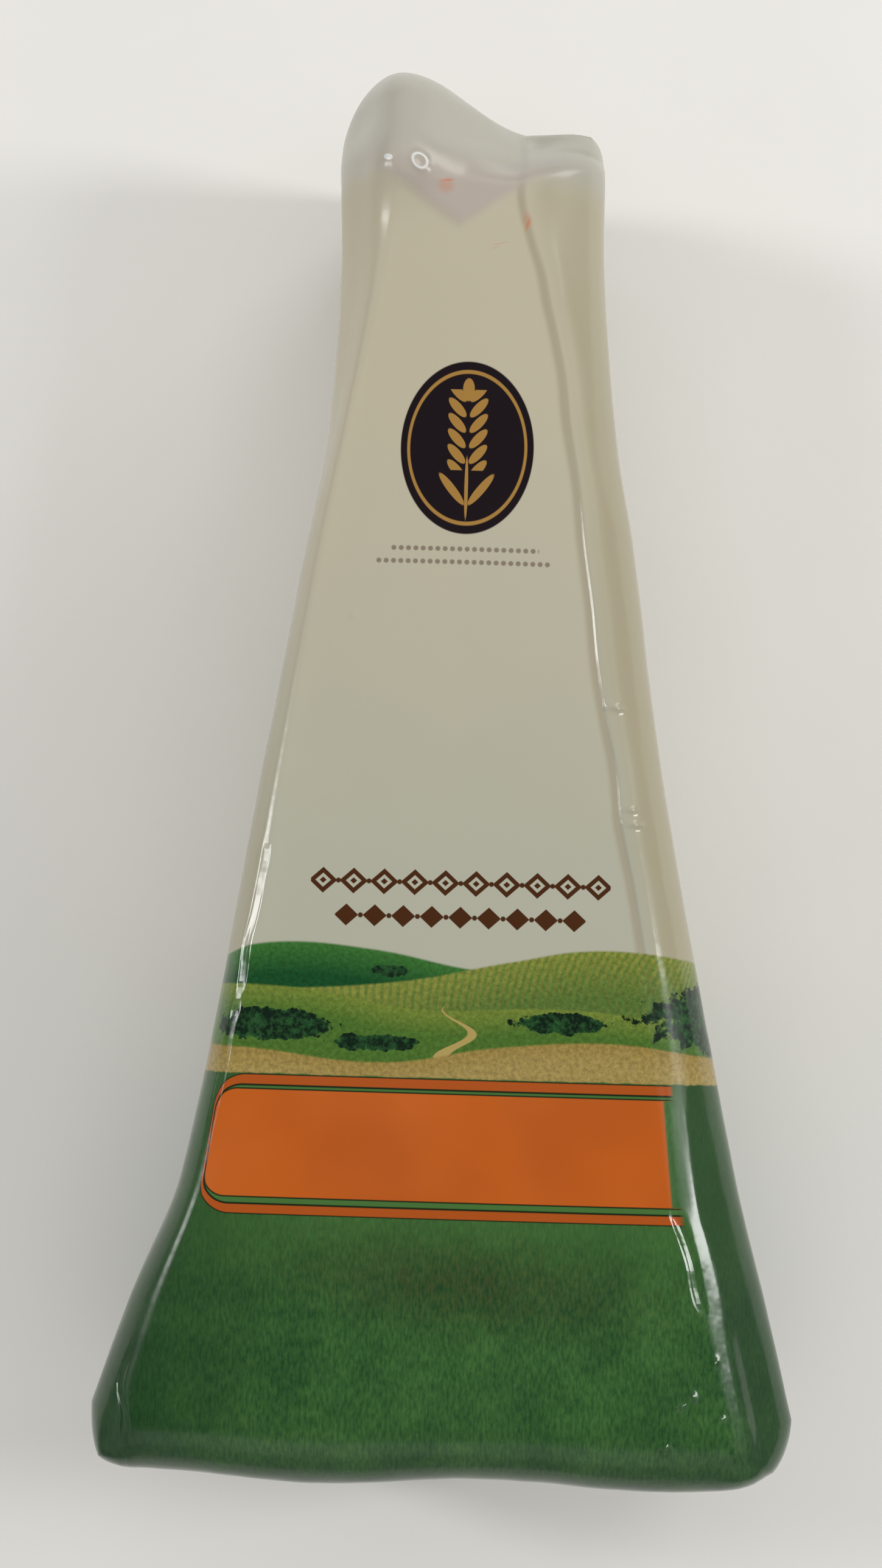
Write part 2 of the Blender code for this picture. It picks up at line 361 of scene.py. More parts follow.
@dataclass
class PackForm:
    """The shrunk pack's form: a tapering wedge with rounded edges, a flared rind end and a folded tail."""

    thickness_at_rind: float = 74.0
    thickness_at_tip: float = 69.0
    ear_end: float = 199.8
    sections: tuple[Section, ...] = (
        Section(8.0, 49.8, 49.2, 7.6, 11.6),
        Section(24.0, 44.6, 45.3, 5.4, 11.2),
        Section(42.0, 38.0, 40.7, 4.4, 9.8),
        Section(98.0, 29.2, 29.5, 3.6, 7.4),
        Section(134.0, 23.6, 24.3, 3.2, 7.6),
        Section(150.0, 21.2, 21.6, 3.6, 8.6),
        Section(176.0, 20.2, 19.2, 7.8, 11.4),
        Section(190.0, 20.8, 19.2, 9.4, 12.0),
    )
    shoulder_drop: float = 8.5
    base_round: float = 6.5
    rind_end_round: float = 9.5
    ear_end_round: float = 6.0
    lobe_end_round: float = 12.5
    plain_corner: float = 2.0
    rind_squareness: float = 0.9
    ear_squareness: float = 3.0
    face_crown: float = 1.2
    rind_swell: float = 1.6
    rind_wave: float = 0.6
    rind_wave_length: float = 48.0
    rind_wave_crest: float = -18.0
    ridge: float = 185.0
    slope_drop: float = 12.0
    lobe_reach: float = 9.0
    lobe_at: Point = (-12.6, 198.5)
    lobe_spread: float = 13.2
    lobe_radius: float = 11.5
    lobe_rise: float = 11.2
    # Where the groove at the right of the face and the ridge at its left run, each place along and across
    groove_path: Curve = (
        (0.0, 41.0), (20.0, 36.6), (27.9, 34.4), (31.1, 33.8), (34.4, 32.7), (38.4, 31.2), (45.9, 30.1),
        (53.4, 29.3), (64.0, 27.5), (76.2, 25.4), (83.8, 24.0), (88.1, 23.0), (92.4, 22.1), (96.8, 21.7),
        (101.1, 21.1), (105.4, 20.1), (114.2, 18.5), (123.0, 17.5), (131.9, 16.2), (140.9, 15.2),
        (149.9, 13.6), (156.6, 12.8), (163.4, 11.4), (168.0, 10.3), (172.6, 9.4), (177.2, 8.0),
        (184.0, 6.4), (192.0, 7.0),
    )
    ridge_path: Curve = (
        (0.0, -44.0), (8.7, -43.3), (13.4, -44.2), (24.0, -40.6), (40.0, -35.2), (53.3, -32.6),
        (63.2, -30.8), (68.1, -29.9), (73.7, -29.4), (77.9, -28.5), (82.3, -27.8), (86.1, -27.2),
        (90.9, -26.9), (95.3, -26.5), (110.0, -24.6), (134.0, -21.0), (150.0, -18.6), (165.0, -16.2),
        (176.1, -14.5), (181.5, -12.9), (186.0, -10.5),
    )
    welt_rise: float = 0.45
    welt_offset: float = 2.1
    welt_width: float = 1.5
    welt_fades_in: Point = (50.0, 66.0)
    welt_fades_out: Point = (172.0, 188.0)
    # Beside the groove at the wide end the film falls away, gently at first and then steeply
    facet_profile: Curve = (
        (0.0, 0.0), (1.4, 0.13), (2.8, 0.3), (3.3, 0.45), (4.0, 0.66), (5.0, 0.88), (6.0, 1.0), (7.5, 1.05),
    )
    facet_deepens: Point = (18.0, 27.5)
    facet_deepening: float = 1.0
    facet_fades_out: Point = (50.0, 62.0)
    ridge_rise: float = 0.15
    ridge_width: float = 1.3
    chamfer: float = 1.0
    chamfer_fades_in: Point = (128.0, 172.0)
    ear_skew: float = 5.0
    ear_skew_across: Point = (5.0, 19.0)
    ear_skew_eases: float = 0.12
    flap_tip: Point = (-2.6, 179.2)
    flap_left: Point = (-13.5, 186.4)
    flap_right: Point = (8.0, 187.0)
    flap_rise: float = 0.35
    flap_edge: float = 1.0
    creases: tuple[Crease, ...] = (
        Crease((-16.0, 188.0, 68.0), (-9.5, 186.2, 68.5), 2.2, 0.5),
        Crease((-9.5, 186.2, 68.5), (-3.4, 186.6, 68.0), 2.4, 0.7),
        Crease((-3.4, 186.6, 68.0), (4.0, 189.4, 66.0), 2.8, 0.8),
        Crease((4.0, 189.4, 66.0), (9.0, 197.6, 58.0), 2.6, 1.2),
    )

    @property
    def flat_end(self) -> float:
        """Where the flat of the pack ends and the rounding of the ear begins."""
        return self.ear_end - self.ear_end_round

    def section_sizes(self, along: np.ndarray) -> dict[str, np.ndarray]:
        """The sizes of the cross-section at each distance, on a smooth curve through the given ones.

        Args:
            along: Distances from the rind end.

        Returns:
            The reach of each side and the width of each shoulder, by their names.
        """
        stations = np.array([row.along for row in self.sections])
        names = ("left", "right", "left_shoulder", "right_shoulder")
        sizes = {name: np.array([getattr(row, name) for row in self.sections]) for name in names}
        return {name: smooth_path(stations, values, along) for name, values in sizes.items()}

    def face_height(self, across: np.ndarray, along: np.ndarray) -> np.ndarray:
        """Height of the upper side before its edges are rounded.

        Args:
            across: Places across the pack.
            along: Places along it.

        Returns:
            The height at each.
        """
        height = mix(self.thickness_at_rind, self.thickness_at_tip, along / self.ridge)
        skew = smooth_step(*self.ear_skew_across, across)
        drop = self.slope_drop * (1.0 - self.ear_skew_eases * skew)
        height = height - drop * smooth_step(self.ridge + self.ear_skew * skew, self.ear_end, along)
        from_lobe = np.hypot(across - self.lobe_at[0], along - self.lobe_at[1])
        return height + self.lobe_rise * bell(from_lobe, self.lobe_radius)

    def outward(self, turns: np.ndarray) -> np.ndarray:
        """The direction out of the rounded edge or corner at each point.

        Args:
            turns: How far each point is round the edges.

        Returns:
            One direction for each.
        """
        square = np.where(turns[:, 0] > 0, self.ear_squareness, 0.0)
        square = np.where(turns[:, 1] < 0, self.rind_squareness, square)
        power = self.plain_corner + square * np.abs(turns[:, 0] * turns[:, 1])
        size = (np.abs(turns) ** power[:, None]).sum(axis=1) ** (1.0 / power)
        return turns / size[:, None]

    def place(self, grid: BoxGrid) -> tuple[np.ndarray, np.ndarray]:
        """Moves the points of a cut box to the plain form of the pack.

        Args:
            grid: The cut box.

        Returns:
            The points, across, along and up, and the direction out of the pack at each.
        """
        out = self.outward(grid.turns)
        plain_along = mix(self.rind_end_round, self.flat_end, grid.places[:, 1])
        sizes = self.section_sizes(plain_along)
        up = grid.places[:, 2]
        left_round = mix(self.base_round, sizes["left_shoulder"], up)
        right_round = mix(self.base_round, sizes["right_shoulder"], up)
        across = mix(left_round - sizes["left"], sizes["right"] - right_round, grid.places[:, 0])
        across = across + out[:, 0] * np.where(out[:, 0] > 0, right_round, left_round)
        share = bell(across - self.lobe_at[0], self.lobe_spread)
        tip_round = mix(self.ear_end_round, self.lobe_end_round, share)
        further = share * self.lobe_reach - (tip_round - self.ear_end_round)
        drawn = smooth_step(self.ridge - self.lobe_radius, self.flat_end, plain_along)
        swell = self.rind_swell * 4.0 * up * (1.0 - up)
        wave = np.cos(math.tau * (across - self.rind_wave_crest) / self.rind_wave_length)
        rind_reach = self.rind_end_round + swell + self.rind_wave * wave
        along = plain_along + further * drawn
        along = along + out[:, 1] * np.where(out[:, 1] > 0, tip_round, rind_reach)
        top = self.face_height(across, along) - self.shoulder_drop
        height = mix(self.base_round, top, up)
        height = height + out[:, 2] * np.where(out[:, 2] > 0, self.shoulder_drop, self.base_round)
        return np.stack([across, along, height], axis=1), out

    def inside_flap(self, across: np.ndarray, along: np.ndarray) -> np.ndarray:
        """How far inside the tail flap's pointed outline each place is, negative outside it.

        Args:
            across: Places across the pack.
            along: Places along it.

        Returns:
            The distance at each.
        """
        depth = np.full(across.shape, self.lobe_radius)
        for corner, side in ((self.flap_left, 1.0), (self.flap_right, -1.0)):
            run = (corner[0] - self.flap_tip[0], corner[1] - self.flap_tip[1])
            cross = run[1] * (across - self.flap_tip[0]) - run[0] * (along - self.flap_tip[1])
            depth = np.minimum(depth, side * cross / math.hypot(*run))
        return depth

    def relief(self, points: np.ndarray, out: np.ndarray) -> np.ndarray:
        """How far the film stands proud of the plain form, and below it where negative.

        Args:
            points: Places across, along and up.
            out: The direction out of the pack at each.

        Returns:
            The height at each.
        """
        across, along = points[:, 0], points[:, 1]
        sizes = self.section_sizes(along)
        half = (sizes["right"] + sizes["left"]) / 2.0
        crown = self.face_crown * np.maximum(0.0, 1.0 - ((across - sizes["right"] + half) / half) ** 2)
        from_groove = self.from_path(self.groove_path, points)
        welt = self.welt_rise * bell(from_groove - self.welt_offset, self.welt_width)
        welt = welt * plateau(self.welt_fades_in, self.welt_fades_out, along)
        facet = smooth_path(*np.array(self.facet_profile).T, from_groove)
        facet = facet * (1.0 + self.facet_deepening * (1.0 - smooth_step(*self.facet_deepens, along)))
        welt = welt - facet * (1.0 - smooth_step(*self.facet_fades_out, along))
        ridge = self.ridge_rise * bell(self.from_path(self.ridge_path, points) - 0.5, self.ridge_width)
        ridge = ridge * (1.0 - smooth_step(self.ridge - 4.0, self.ridge + 6.0, along))
        inside = self.inside_flap(across, along)
        flap = self.flap_rise * smooth_step(-self.flap_edge, self.flap_edge, inside)
        flap = flap * (1.0 - smooth_step(self.ridge, self.ear_end, along))
        height = np.maximum(0.0, out[:, 2]) * (crown + welt + ridge + flap)
        turned = np.where(out[:, 0] < 0, 4.0 * (out[:, 0] * out[:, 2]) ** 2, 0.0) * (out[:, 2] > 0)
        height = height - self.chamfer * turned * smooth_step(*self.chamfer_fades_in, along)
        for crease in self.creases:
            height = height - crease.depth_at(points) * (out[:, 2] >= 0)
        return height

    def from_path(self, path: Curve, points: np.ndarray) -> np.ndarray:
        """How far to the right of a path along the pack each point is, negative to its left.

        Args:
            path: The path, each place along and across.
            points: Places across, along and up.

        Returns:
            The distance at each.
        """
        stations, across = np.array(path).T
        return points[:, 0] - smooth_path(stations, across, points[:, 1])


@dataclass
class FilmPlan:
    """How the pack's surface lies on the flat print, and how each part of the film is held."""

    form: PackForm
    flap_blur: float = 0.8
    flap_tint: float = 0.8
    tail_tint: float = 0.7
    # Where the film is strained: each pair is the stretch where that begins and the one where it ends
    beside_groove: tuple[Point, Point] = ((-1.0, -0.1), (2.3, 3.0))
    along_groove: tuple[Point, Point] = ((36.0, 41.0), (66.0, 76.0))
    groove_widening: float = 1.6
    groove_widens: Point = (50.0, 60.0)
    beside_ridge: tuple[Point, Point] = ((-3.0, -1.5), (1.5, 3.0))
    along_ridge: tuple[Point, Point] = ((17.0, 22.0), (40.0, 46.0))
    tail_begins: Point = (166.0, 176.0)
    mild_strain: float = 0.3
    # How loosely the film lies on the face and on the sides, and how much more so towards each end
    slack_on_face: float = 0.16
    slack_on_sides: float = 0.8
    slack_at_tail: float = 0.5
    slack_at_rind: float = 0.4

    def print_place(self, grid: BoxGrid, points: np.ndarray, out: np.ndarray) -> np.ndarray:
        """Where each point lies on the print, as if the film were opened out flat round the face.

        Args:
            grid: The cut box.
            points: Its points on the pack, across, along and up.
            out: The direction out of the pack at each.

        Returns:
            Across and along on the print, and 0.
        """
        form = self.form
        plan = np.hypot(grid.turns[:, 0], grid.turns[:, 1])
        heading = grid.turns[:, :2] / np.maximum(plan, 1e-9)[:, None]
        sizes = form.section_sizes(points[:, 1])
        right = points[:, 0] > 0
        side = np.where(right, sizes["right_shoulder"], sizes["left_shoulder"])
        end = np.where(grid.turns[:, 1] > 0, form.ear_end_round, form.rind_end_round)
        plan_round = np.hypot(heading[:, 0] * side, heading[:, 1] * end)
        rolled = np.arctan2(np.hypot(out[:, 0], out[:, 1]), np.maximum(out[:, 2], 0.0))
        below = form.face_height(points[:, 0], points[:, 1]) - form.shoulder_drop - points[:, 2]
        down = rolled * (plan_round + form.shoulder_drop) / 2.0 + np.maximum(0.0, below)
        edge = points[:, :2] - out[:, :2] * np.column_stack([side, end])
        place = edge + heading * down[:, None]
        under = (plan == 0) & (grid.turns[:, 2] < 0)
        reach = np.where(right, sizes["right"], sizes["left"])
        round_the_side = reach - np.abs(points[:, 0]) + form.thickness_at_rind + reach
        place[under, 0] = (np.where(right, 1.0, -1.0) * round_the_side)[under]
        on_face = (plan == 0) & (grid.turns[:, 2] > 0)
        place[on_face] = points[on_face, :2]
        return np.column_stack([place, np.zeros(len(place))])

    def side_share(self, out: np.ndarray) -> np.ndarray:
        """How far each point is round from the face to a side: 0 on the face, 1 on the side."""
        return 1.0 - np.maximum(0.0, out[:, 2]) ** 2

    def flap_share(self, points: np.ndarray, out: np.ndarray) -> np.ndarray:
        """How much the folded flap's pointed, pinkish film covers the print at each point.

        Args:
            points: Places across, along and up.
            out: The direction out of the pack at each.

        Returns:
            The share at each.
        """
        form = self.form
        across, along = points[:, 0], points[:, 1]
        flap = smooth_step(-self.flap_blur, self.flap_blur, form.inside_flap(across, along))
        gone = smooth_step(form.ridge - 1.0, form.ridge + 9.0, along)
        return self.flap_tint * flap * np.maximum(0.0, out[:, 2]) * (1.0 - gone)

    def tail_share(self, points: np.ndarray) -> np.ndarray:
        """How much grey, doubled film covers the print at each point of the tail."""
        tail = self.tail_tint * smooth_step(self.form.ridge - 2.0, self.form.ridge + 5.0, points[:, 1])
        return tail * smooth_step(30.0, 55.0, points[:, 2])

    def strain(self, points: np.ndarray) -> np.ndarray:
        """How cloudy with strain the film is at each point.

        Args:
            points: Places across, along and up.

        Returns:
            The share at each: high beside the groove at the wide end, and mild over the tail and where the
            left ridge flares.
        """
        along = points[:, 1]
        away = self.form.from_path(self.form.groove_path, points)
        wider = self.groove_widening * smooth_step(*self.groove_widens, along)
        begins, ends = self.beside_groove
        strained = smooth_step(*begins, away) * (1.0 - smooth_step(*ends, away - wider))
        strained = strained * plateau(*self.along_groove, along)
        away = self.form.from_path(self.form.ridge_path, points)
        flare = plateau(*self.beside_ridge, away) * plateau(*self.along_ridge, along)
        mild = np.maximum(flare, smooth_step(*self.tail_begins, along))
        return np.maximum(strained, self.mild_strain * mild)

    def slack(self, points: np.ndarray, out: np.ndarray) -> np.ndarray:
        """How loosely the film lies at each point, which is how much it may ripple.

        Args:
            points: Places across, along and up.
            out: The direction out of the pack at each.

        Returns:
            0 where it is held fast, and about 1 where it is loosest.
        """
        along, ridge = points[:, 1], self.form.ridge
        loose = mix(self.slack_on_face, self.slack_on_sides, self.side_share(out))
        loose = loose + self.slack_at_tail * smooth_step(ridge - 12.0, ridge + 4.0, along)
        loose = loose + self.slack_at_rind * (1.0 - smooth_step(0.0, 16.0, along))
        return loose * smooth_step(0.5, 9.0, points[:, 2])


@dataclass(frozen=True)
class Blister:
    """A tiny blister in the film, or the rim of one where it is hollow, by its place on the print."""

    middle: Point
    half: Point
    turn: float
    height: float
    hollow: bool = False


TAIL_BLISTERS = (
    Blister((-12.9, 84.9), (0.85, 0.6), -30.0, 0.2),
    Blister((-8.5, 84.5), (1.2, 0.95), -50.0, 0.22, True),
)


@dataclass(frozen=True)
class Field:
    """One field of the printed land: its crest from left to right, and its colours from the crest down."""

    crest: Curve
    top: Ink
    foot: Ink
    fade: float


@dataclass
class PrintDrawing:
    """Draws the print in a material's node tree, one field of colour over another, with painted shade round
    the sides and in the groove and painted highlights on the tail's blisters.

    The land is a plain one of hills, vine rows, round bushes and a path, the badge holds an ear of wheat,
    and rows of lozenges and dots run across the cream ground.
    """

    tree: bpy.types.NodeTree
    crisp: float = 0.09
    land_reach: float = 80.0
    land_low: float = -60.0
    land_high: float = -20.0
    fields: tuple[Field, ...] = (
        Field(
            ((-80, -33.5), (-36, -31.2), (-24, -29.2), (-12, -29.9), (4, -32.6), (30, -33.6), (80, -32.0)),
            Ink.EMERALD_LIGHT,
            Ink.EMERALD,
            4.5,
        ),
        Field(
            ((-80, -37.0), (-30, -36.0), (-8, -34.4), (8, -31.2), (20, -29.3), (34, -30.2), (80, -33.0)),
            Ink.OLIVE,
            Ink.OLIVE_DEEP,
            6.5,
        ),
        Field(
            ((-80, -35.0), (-40, -35.2), (-22, -35.6), (-4, -38.2), (14, -37.6), (32, -38.6), (80, -36.0)),
            Ink.MEADOW_LIGHT,
            Ink.MEADOW,
            3.5,
        ),
        Field(
            ((-80, -44.0), (-30, -44.0), (-10, -45.6), (6, -43.2), (22, -42.2), (36, -43.6), (80, -44.0)),
            Ink.WHEAT,
            Ink.PATH,
            3.0,
        ),
    )
    leaf_size: float = 0.7
    bush_groups: tuple[tuple[Point, Point], ...] = (
        ((-26.0, -40.8), (9.0, 2.3)),
        ((-11.0, -42.9), (6.5, 1.2)),
        ((15.0, -39.6), (6.5, 1.5)),
        ((-9.0, -32.8), (2.6, 0.9)),
        ((44.0, -38.5), (17.0, 5.0)),
        ((-58.0, -40.0), (18.0, 4.0)),
    )
    vine_spacing: float = 1.15
    grass_top: float = -47.3
    blade: Point = (0.42, 1.3)
    panel_middle: Point = (-1.6, -57.0)
    panel_widening: float = 0.00313
    panel_end: float = 31.7
    badge_at: Point = (-0.4, 42.6)
    badge_half: Point = (9.6, 12.8)
    ring_at: float = 0.88
    dot_pitch: float = 1.05
    dot_radius: float = 0.36
    right_side_shade: float = 0.9
    left_side_shade: float = 0.6
    # Each smear's middle, half size, turn in degrees, and strength: a soft stain, then a thin streak in it
    smears: tuple[tuple[Point, Point, float, float], ...] = (
        ((-4.6, 81.4), (1.5, 1.3), 0.0, 0.4),
        ((-4.5, 82.1), (1.3, 0.25), 12.0, 0.75),
        ((7.4, 77.2), (0.8, 1.4), 10.0, 0.35),
        ((7.5, 76.4), (0.28, 1.1), -16.0, 0.75),
        ((3.6, 73.4), (1.5, 0.14), 14.0, 0.3),
        ((2.8, 72.7), (0.9, 0.12), 24.0, 0.25),
    )

    def __post_init__(self) -> None:
        """Reads the place on the print, in millimetres."""
        self.add = partial(add_node, self.tree)
        add = self.add
        self.place = add("ShaderNodeAttribute", give=1, attribute_name="print_place")
        self.across = add("ShaderNodeSeparateXYZ", self.place)
        self.along = self.across.node.outputs[1]
        self.ragged = add("ShaderNodeTexNoise", self.place, 0.45, 3.0, 0.6, noise_dimensions="2D")
        self.from_groove = add("ShaderNodeAttribute", give=2, attribute_name="from_groove")
        from_ridge = add("ShaderNodeAttribute", give=2, attribute_name="from_ridge")
        # Painted shade: a darker cream beyond the groove, beyond the ridge and round the sides
        right = add("ShaderNodeMapRange", self.from_groove, 0.0, 4.0, 0.0, self.right_side_shade, **EASED)
        left = add("ShaderNodeMapRange", from_ridge, 0.5, -2.0, 0.0, self.left_side_shade, **EASED)
        side = add("ShaderNodeAttribute", give=2, attribute_name="side_share")
        self.aside = add("ShaderNodeMath", side, right, operation="MAXIMUM")
        self.aside = add("ShaderNodeMath", self.aside, left, operation="MAXIMUM")
        # Painted shade on the sides fades towards the folded end, at the left sooner than at the right
        right_fade = add("ShaderNodeMapRange", self.along, 48.0, 80.0, 1.0, 0.7)
        left_fade = add("ShaderNodeMapRange", self.along, -8.0, 40.0, 1.0, 0.12)
        is_right = add("ShaderNodeMapRange", self.across, -1.0, 1.0, 0.0, 1.0)
        self.faded = add("ShaderNodeMix", is_right, left_fade, right_fade, data_type="FLOAT")
        self.faded = add("ShaderNodeMath", self.faded, self.aside, operation="MULTIPLY")

    def oval(self, middle: Point, half: Point, turn: float = 0.0) -> Socket:
        """How far out from the middle of an oval each place on the print is: 1 is on its outline."""
        return from_oval(self.tree, self.place, middle, half, turn)

    def lay(self, below: Socket, over: Feed, edge: Socket, blur: float, level: float = 0.0) -> Socket:
        """Lays a colour over what is drawn, wherever a distance is less than a level.

        Args:
            below: The colour so far.
            over: The colour that goes over it.
            edge: The distance to compare.
            blur: Half the width of the soft edge, in the distance's own measure.
            level: The distance at which the edge is.

        Returns:
            The colour with the new one laid over it.
        """
        inside = self.add("ShaderNodeMapRange", edge, level + blur, level - blur, 0.0, 1.0, **EASED)
        return self.add("ShaderNodeMix", inside, below, over, data_type="RGBA")

    def outside(self, value: Socket, middle: float, half: float = 0.0) -> Socket:
        """How far a value lies outside a span.

        Args:
            value: The value.
            middle: The middle of the span.
            half: Half its length.

        Returns:
            The distance, negative inside the span.
        """
        away = self.add("ShaderNodeMath", value, middle, operation="SUBTRACT")
        away = self.add("ShaderNodeMath", away, operation="ABSOLUTE")
        return self.add("ShaderNodeMath", away, half, operation="SUBTRACT") if half else away

    def repeated(self, value: Socket, start: float, pitch: float) -> Socket:
        """Where a value lies in its repeat of a row.

        Args:
            value: The value.
            start: Where one of the repeats starts.
            pitch: The length of a repeat.

        Returns:
            The distance from the middle of the repeat.
        """
        run = self.add("ShaderNodeMath", value, start, operation="SUBTRACT")
        run = self.add("ShaderNodeMath", run, pitch, operation="FLOORED_MODULO")
        return self.add("ShaderNodeMath", run, pitch / 2.0, operation="SUBTRACT")

    def below_crest(self, crest: Curve) -> Socket:
        """How far below an outline each place is, in millimetres.

        Args:
            crest: The outline's points from left to right.

        Returns:
            The distance, negative above the outline.
        """
        height = follow_curve(self.tree, self.across, crest, self.land_low, self.land_high)
        return self.add("ShaderNodeMath", height, self.along, operation="SUBTRACT")

    def ground(self) -> Socket:
        """The cream ground, which clouds a little from place to place and is cooler and a little darker
        towards the wide end, with painted shade: a darker, yellower cream round the sides and shoulders,
        and a dark line along the groove that is partly painted shade and partly the film doubled in its
        crease.
        """
        add = self.add
        cloud = add("ShaderNodeTexNoise", self.place, 0.06, 2.0, 0.5, noise_dimensions="2D")
        cloud = add("ShaderNodeMath", cloud, 26.0, self.along, operation="MULTIPLY_ADD")
        cloud = add("ShaderNodeMapRange", cloud, 60.0, -4.0, 0.0, 1.0)
        cream = add("ShaderNodeMix", cloud, Ink.CREAM.colour, Ink.CREAM_COOL.colour, data_type="RGBA")
        cream = add("ShaderNodeMix", self.faded, cream, Ink.CREAM_SIDE_SHADE.colour, data_type="RGBA")
        # Partly painted shade: a dark line in the groove's crease, partly the film doubled there
        groove = self.outside(self.from_groove, -0.2)
        groove = add("ShaderNodeMapRange", groove, 1.1, 0.1, 0.0, 0.6, **EASED)
        return add("ShaderNodeMix", groove, cream, Ink.FOLD_SHADE.colour, data_type="RGBA")

    def vines(self, hill: Socket) -> Socket:
        """Rows of vines on the olive slope, which fan out towards the viewer.

        Args:
            hill: How far below the slope's crest each place is.

        Returns:
            1 between the rows and 0 along them.
        """
        add = self.add
        spread = add("ShaderNodeMath", hill, 0.75, operation="POWER")
        lean = add("ShaderNodeMath", self.across, -7.0, operation="ADD")
        lean = add("ShaderNodeMath", lean, 0.055, 1.0, operation="MULTIPLY_ADD")
        down = add("ShaderNodeMath", spread, lean, operation="MULTIPLY")
        phase = add("ShaderNodeMath", down, 0.42, self.across, operation="MULTIPLY_ADD")
        row = add("ShaderNodeMath", phase, math.tau / self.vine_spacing, operation="MULTIPLY")
        wave = add("ShaderNodeMath", row, operation="SINE")
        return add("ShaderNodeMapRange", wave, -0.4, 0.7, 0.0, 1.0)

    def bushes(self, below: Socket) -> Socket:
        """Dark leafy bushes that run together in a few groups.

        Args:
            below: The colour so far.

        Returns:
            The colour with the bushes over it.
        """
        add = self.add
        leaf = add("ShaderNodeTexNoise", self.place, 1.0 / self.leaf_size, 3.0, 0.65, noise_dimensions="2D")
        crown = add("ShaderNodeMath", leaf, self.ragged, operation="ADD")
        crown = add("ShaderNodeMapRange", crown, 0.85, 1.25, 0.0, 1.0)
        green = add("ShaderNodeMix", crown, Ink.BUSH.colour, Ink.BUSH_LIGHT.colour, data_type="RGBA")
        near = None
        for middle, half in self.bush_groups:
            found = self.oval(middle, half)
            near = found if near is None else add("ShaderNodeMath", near, found, operation="MINIMUM")
        near = add("ShaderNodeMath", self.ragged, 0.9, near, operation="MULTIPLY_ADD")
        near = add("ShaderNodeMath", leaf, 0.35, near, operation="MULTIPLY_ADD")
        return self.lay(below, green, near, 0.05, 1.6)

    def land(self, below: Socket) -> Socket:
        """The land between the cream ground and the grass.

        Args:
            below: The colour so far.

        Returns:
            The colour with the land over it.
        """
        add = self.add
        speck = add("ShaderNodeTexNoise", self.place, 1.6, 3.0, 0.7, noise_dimensions="2D")
        speck = add("ShaderNodeMapRange", speck, 0.3, 0.7, 0.0, 0.55)
        for number, part in enumerate(self.fields):
            depth = self.below_crest(part.crest)
            faded = add("ShaderNodeMapRange", depth, 0.0, part.fade, 0.0, 1.0)
            colour = add("ShaderNodeMix", faded, part.top.colour, part.foot.colour, data_type="RGBA")
            if number == 1:
                rows = self.vines(add("ShaderNodeMath", depth, 0.0, operation="MAXIMUM"))
                rows = add("ShaderNodeMath", rows, 0.45, operation="MULTIPLY")
                colour = add("ShaderNodeMix", rows, colour, Ink.EMERALD_LIGHT.colour, data_type="RGBA")
            shade = Ink.SHADE.colour
            colour = add("ShaderNodeMix", speck, colour, shade, data_type="RGBA", blend_type="MULTIPLY")
            above = add("ShaderNodeMath", depth, -1.0, operation="MULTIPLY")
            below = self.lay(below, colour, above, 0.22)
            if number == 2:
                below = self.bushes(self.path(below, depth))
        return below

    def path(self, below: Socket, depth: Socket) -> Socket:
        """A pale path that winds down through the meadow and widens towards the viewer.

        Args:
            below: The colour so far.
            depth: How far below the meadow's crest each place is.

        Returns:
            The colour with the path over it.
        """
        add = self.add
        bend = add("ShaderNodeMath", self.along, 0.95, operation="MULTIPLY")
        bend = add("ShaderNodeMath", bend, operation="SINE")
        course = add("ShaderNodeMath", bend, 2.1, self.across, operation="MULTIPLY_ADD")
        width = add("ShaderNodeMath", depth, 0.16, 0.12, operation="MULTIPLY_ADD")
        edge = add("ShaderNodeMath", self.outside(course, 0.5), width, operation="SUBTRACT")
        return self.lay(below, Ink.PATH.colour, edge, 0.12)

    def grass(self, below: Socket) -> Socket:
        """Mown grass over the rind end, of short upright blades with darker and browner patches, and
        painted shade round the sides and towards the left.

        Args:
            below: The colour so far.

        Returns:
            The colour with the grass over it.
        """
        add = self.add
        # A real blade is finer still in print; this is the finest that shows
        closeness = (1.0 / self.blade[0], 1.0 / self.blade[1], 1.0)
        blades = add("ShaderNodeVectorMath", self.place, closeness, operation="MULTIPLY")
        fine = add("ShaderNodeTexNoise", blades, 1.0, 2.0, 0.6, noise_dimensions="2D")
        fine = add("ShaderNodeMapRange", fine, 0.28, 0.72, 0.0, 1.0)
        patch = add("ShaderNodeTexNoise", self.place, 0.12, 4.0, 0.6, noise_dimensions="2D")
        patch = add("ShaderNodeMapRange", patch, 0.3, 0.7, 0.18, 0.95)
        colour = add("ShaderNodeMix", patch, Ink.GRASS_DARK.colour, Ink.GRASS.colour, data_type="RGBA")
        light = add("ShaderNodeMix", patch, Ink.GRASS.colour, Ink.GRASS_LIGHT.colour, data_type="RGBA")
        colour = add("ShaderNodeMix", fine, colour, light, data_type="RGBA")
        sunny = add("ShaderNodeMapRange", self.along, -78.0, -68.0, 0.0, 0.45)
        colour = add("ShaderNodeMix", sunny, colour, Ink.GRASS_LIGHT.colour, data_type="RGBA")
        worn = self.oval((2.0, -75.0), (26.0, 6.5), -4.0)
        worn = add("ShaderNodeMath", worn, self.ragged, operation="ADD")
        worn = add("ShaderNodeMapRange", worn, 1.8, 0.6, 0.0, 0.75)
        brown = add("ShaderNodeMix", fine, Ink.GRASS_DARK.colour, Ink.GRASS_BROWN.colour, data_type="RGBA")
        colour = add("ShaderNodeMix", worn, colour, brown, data_type="RGBA")
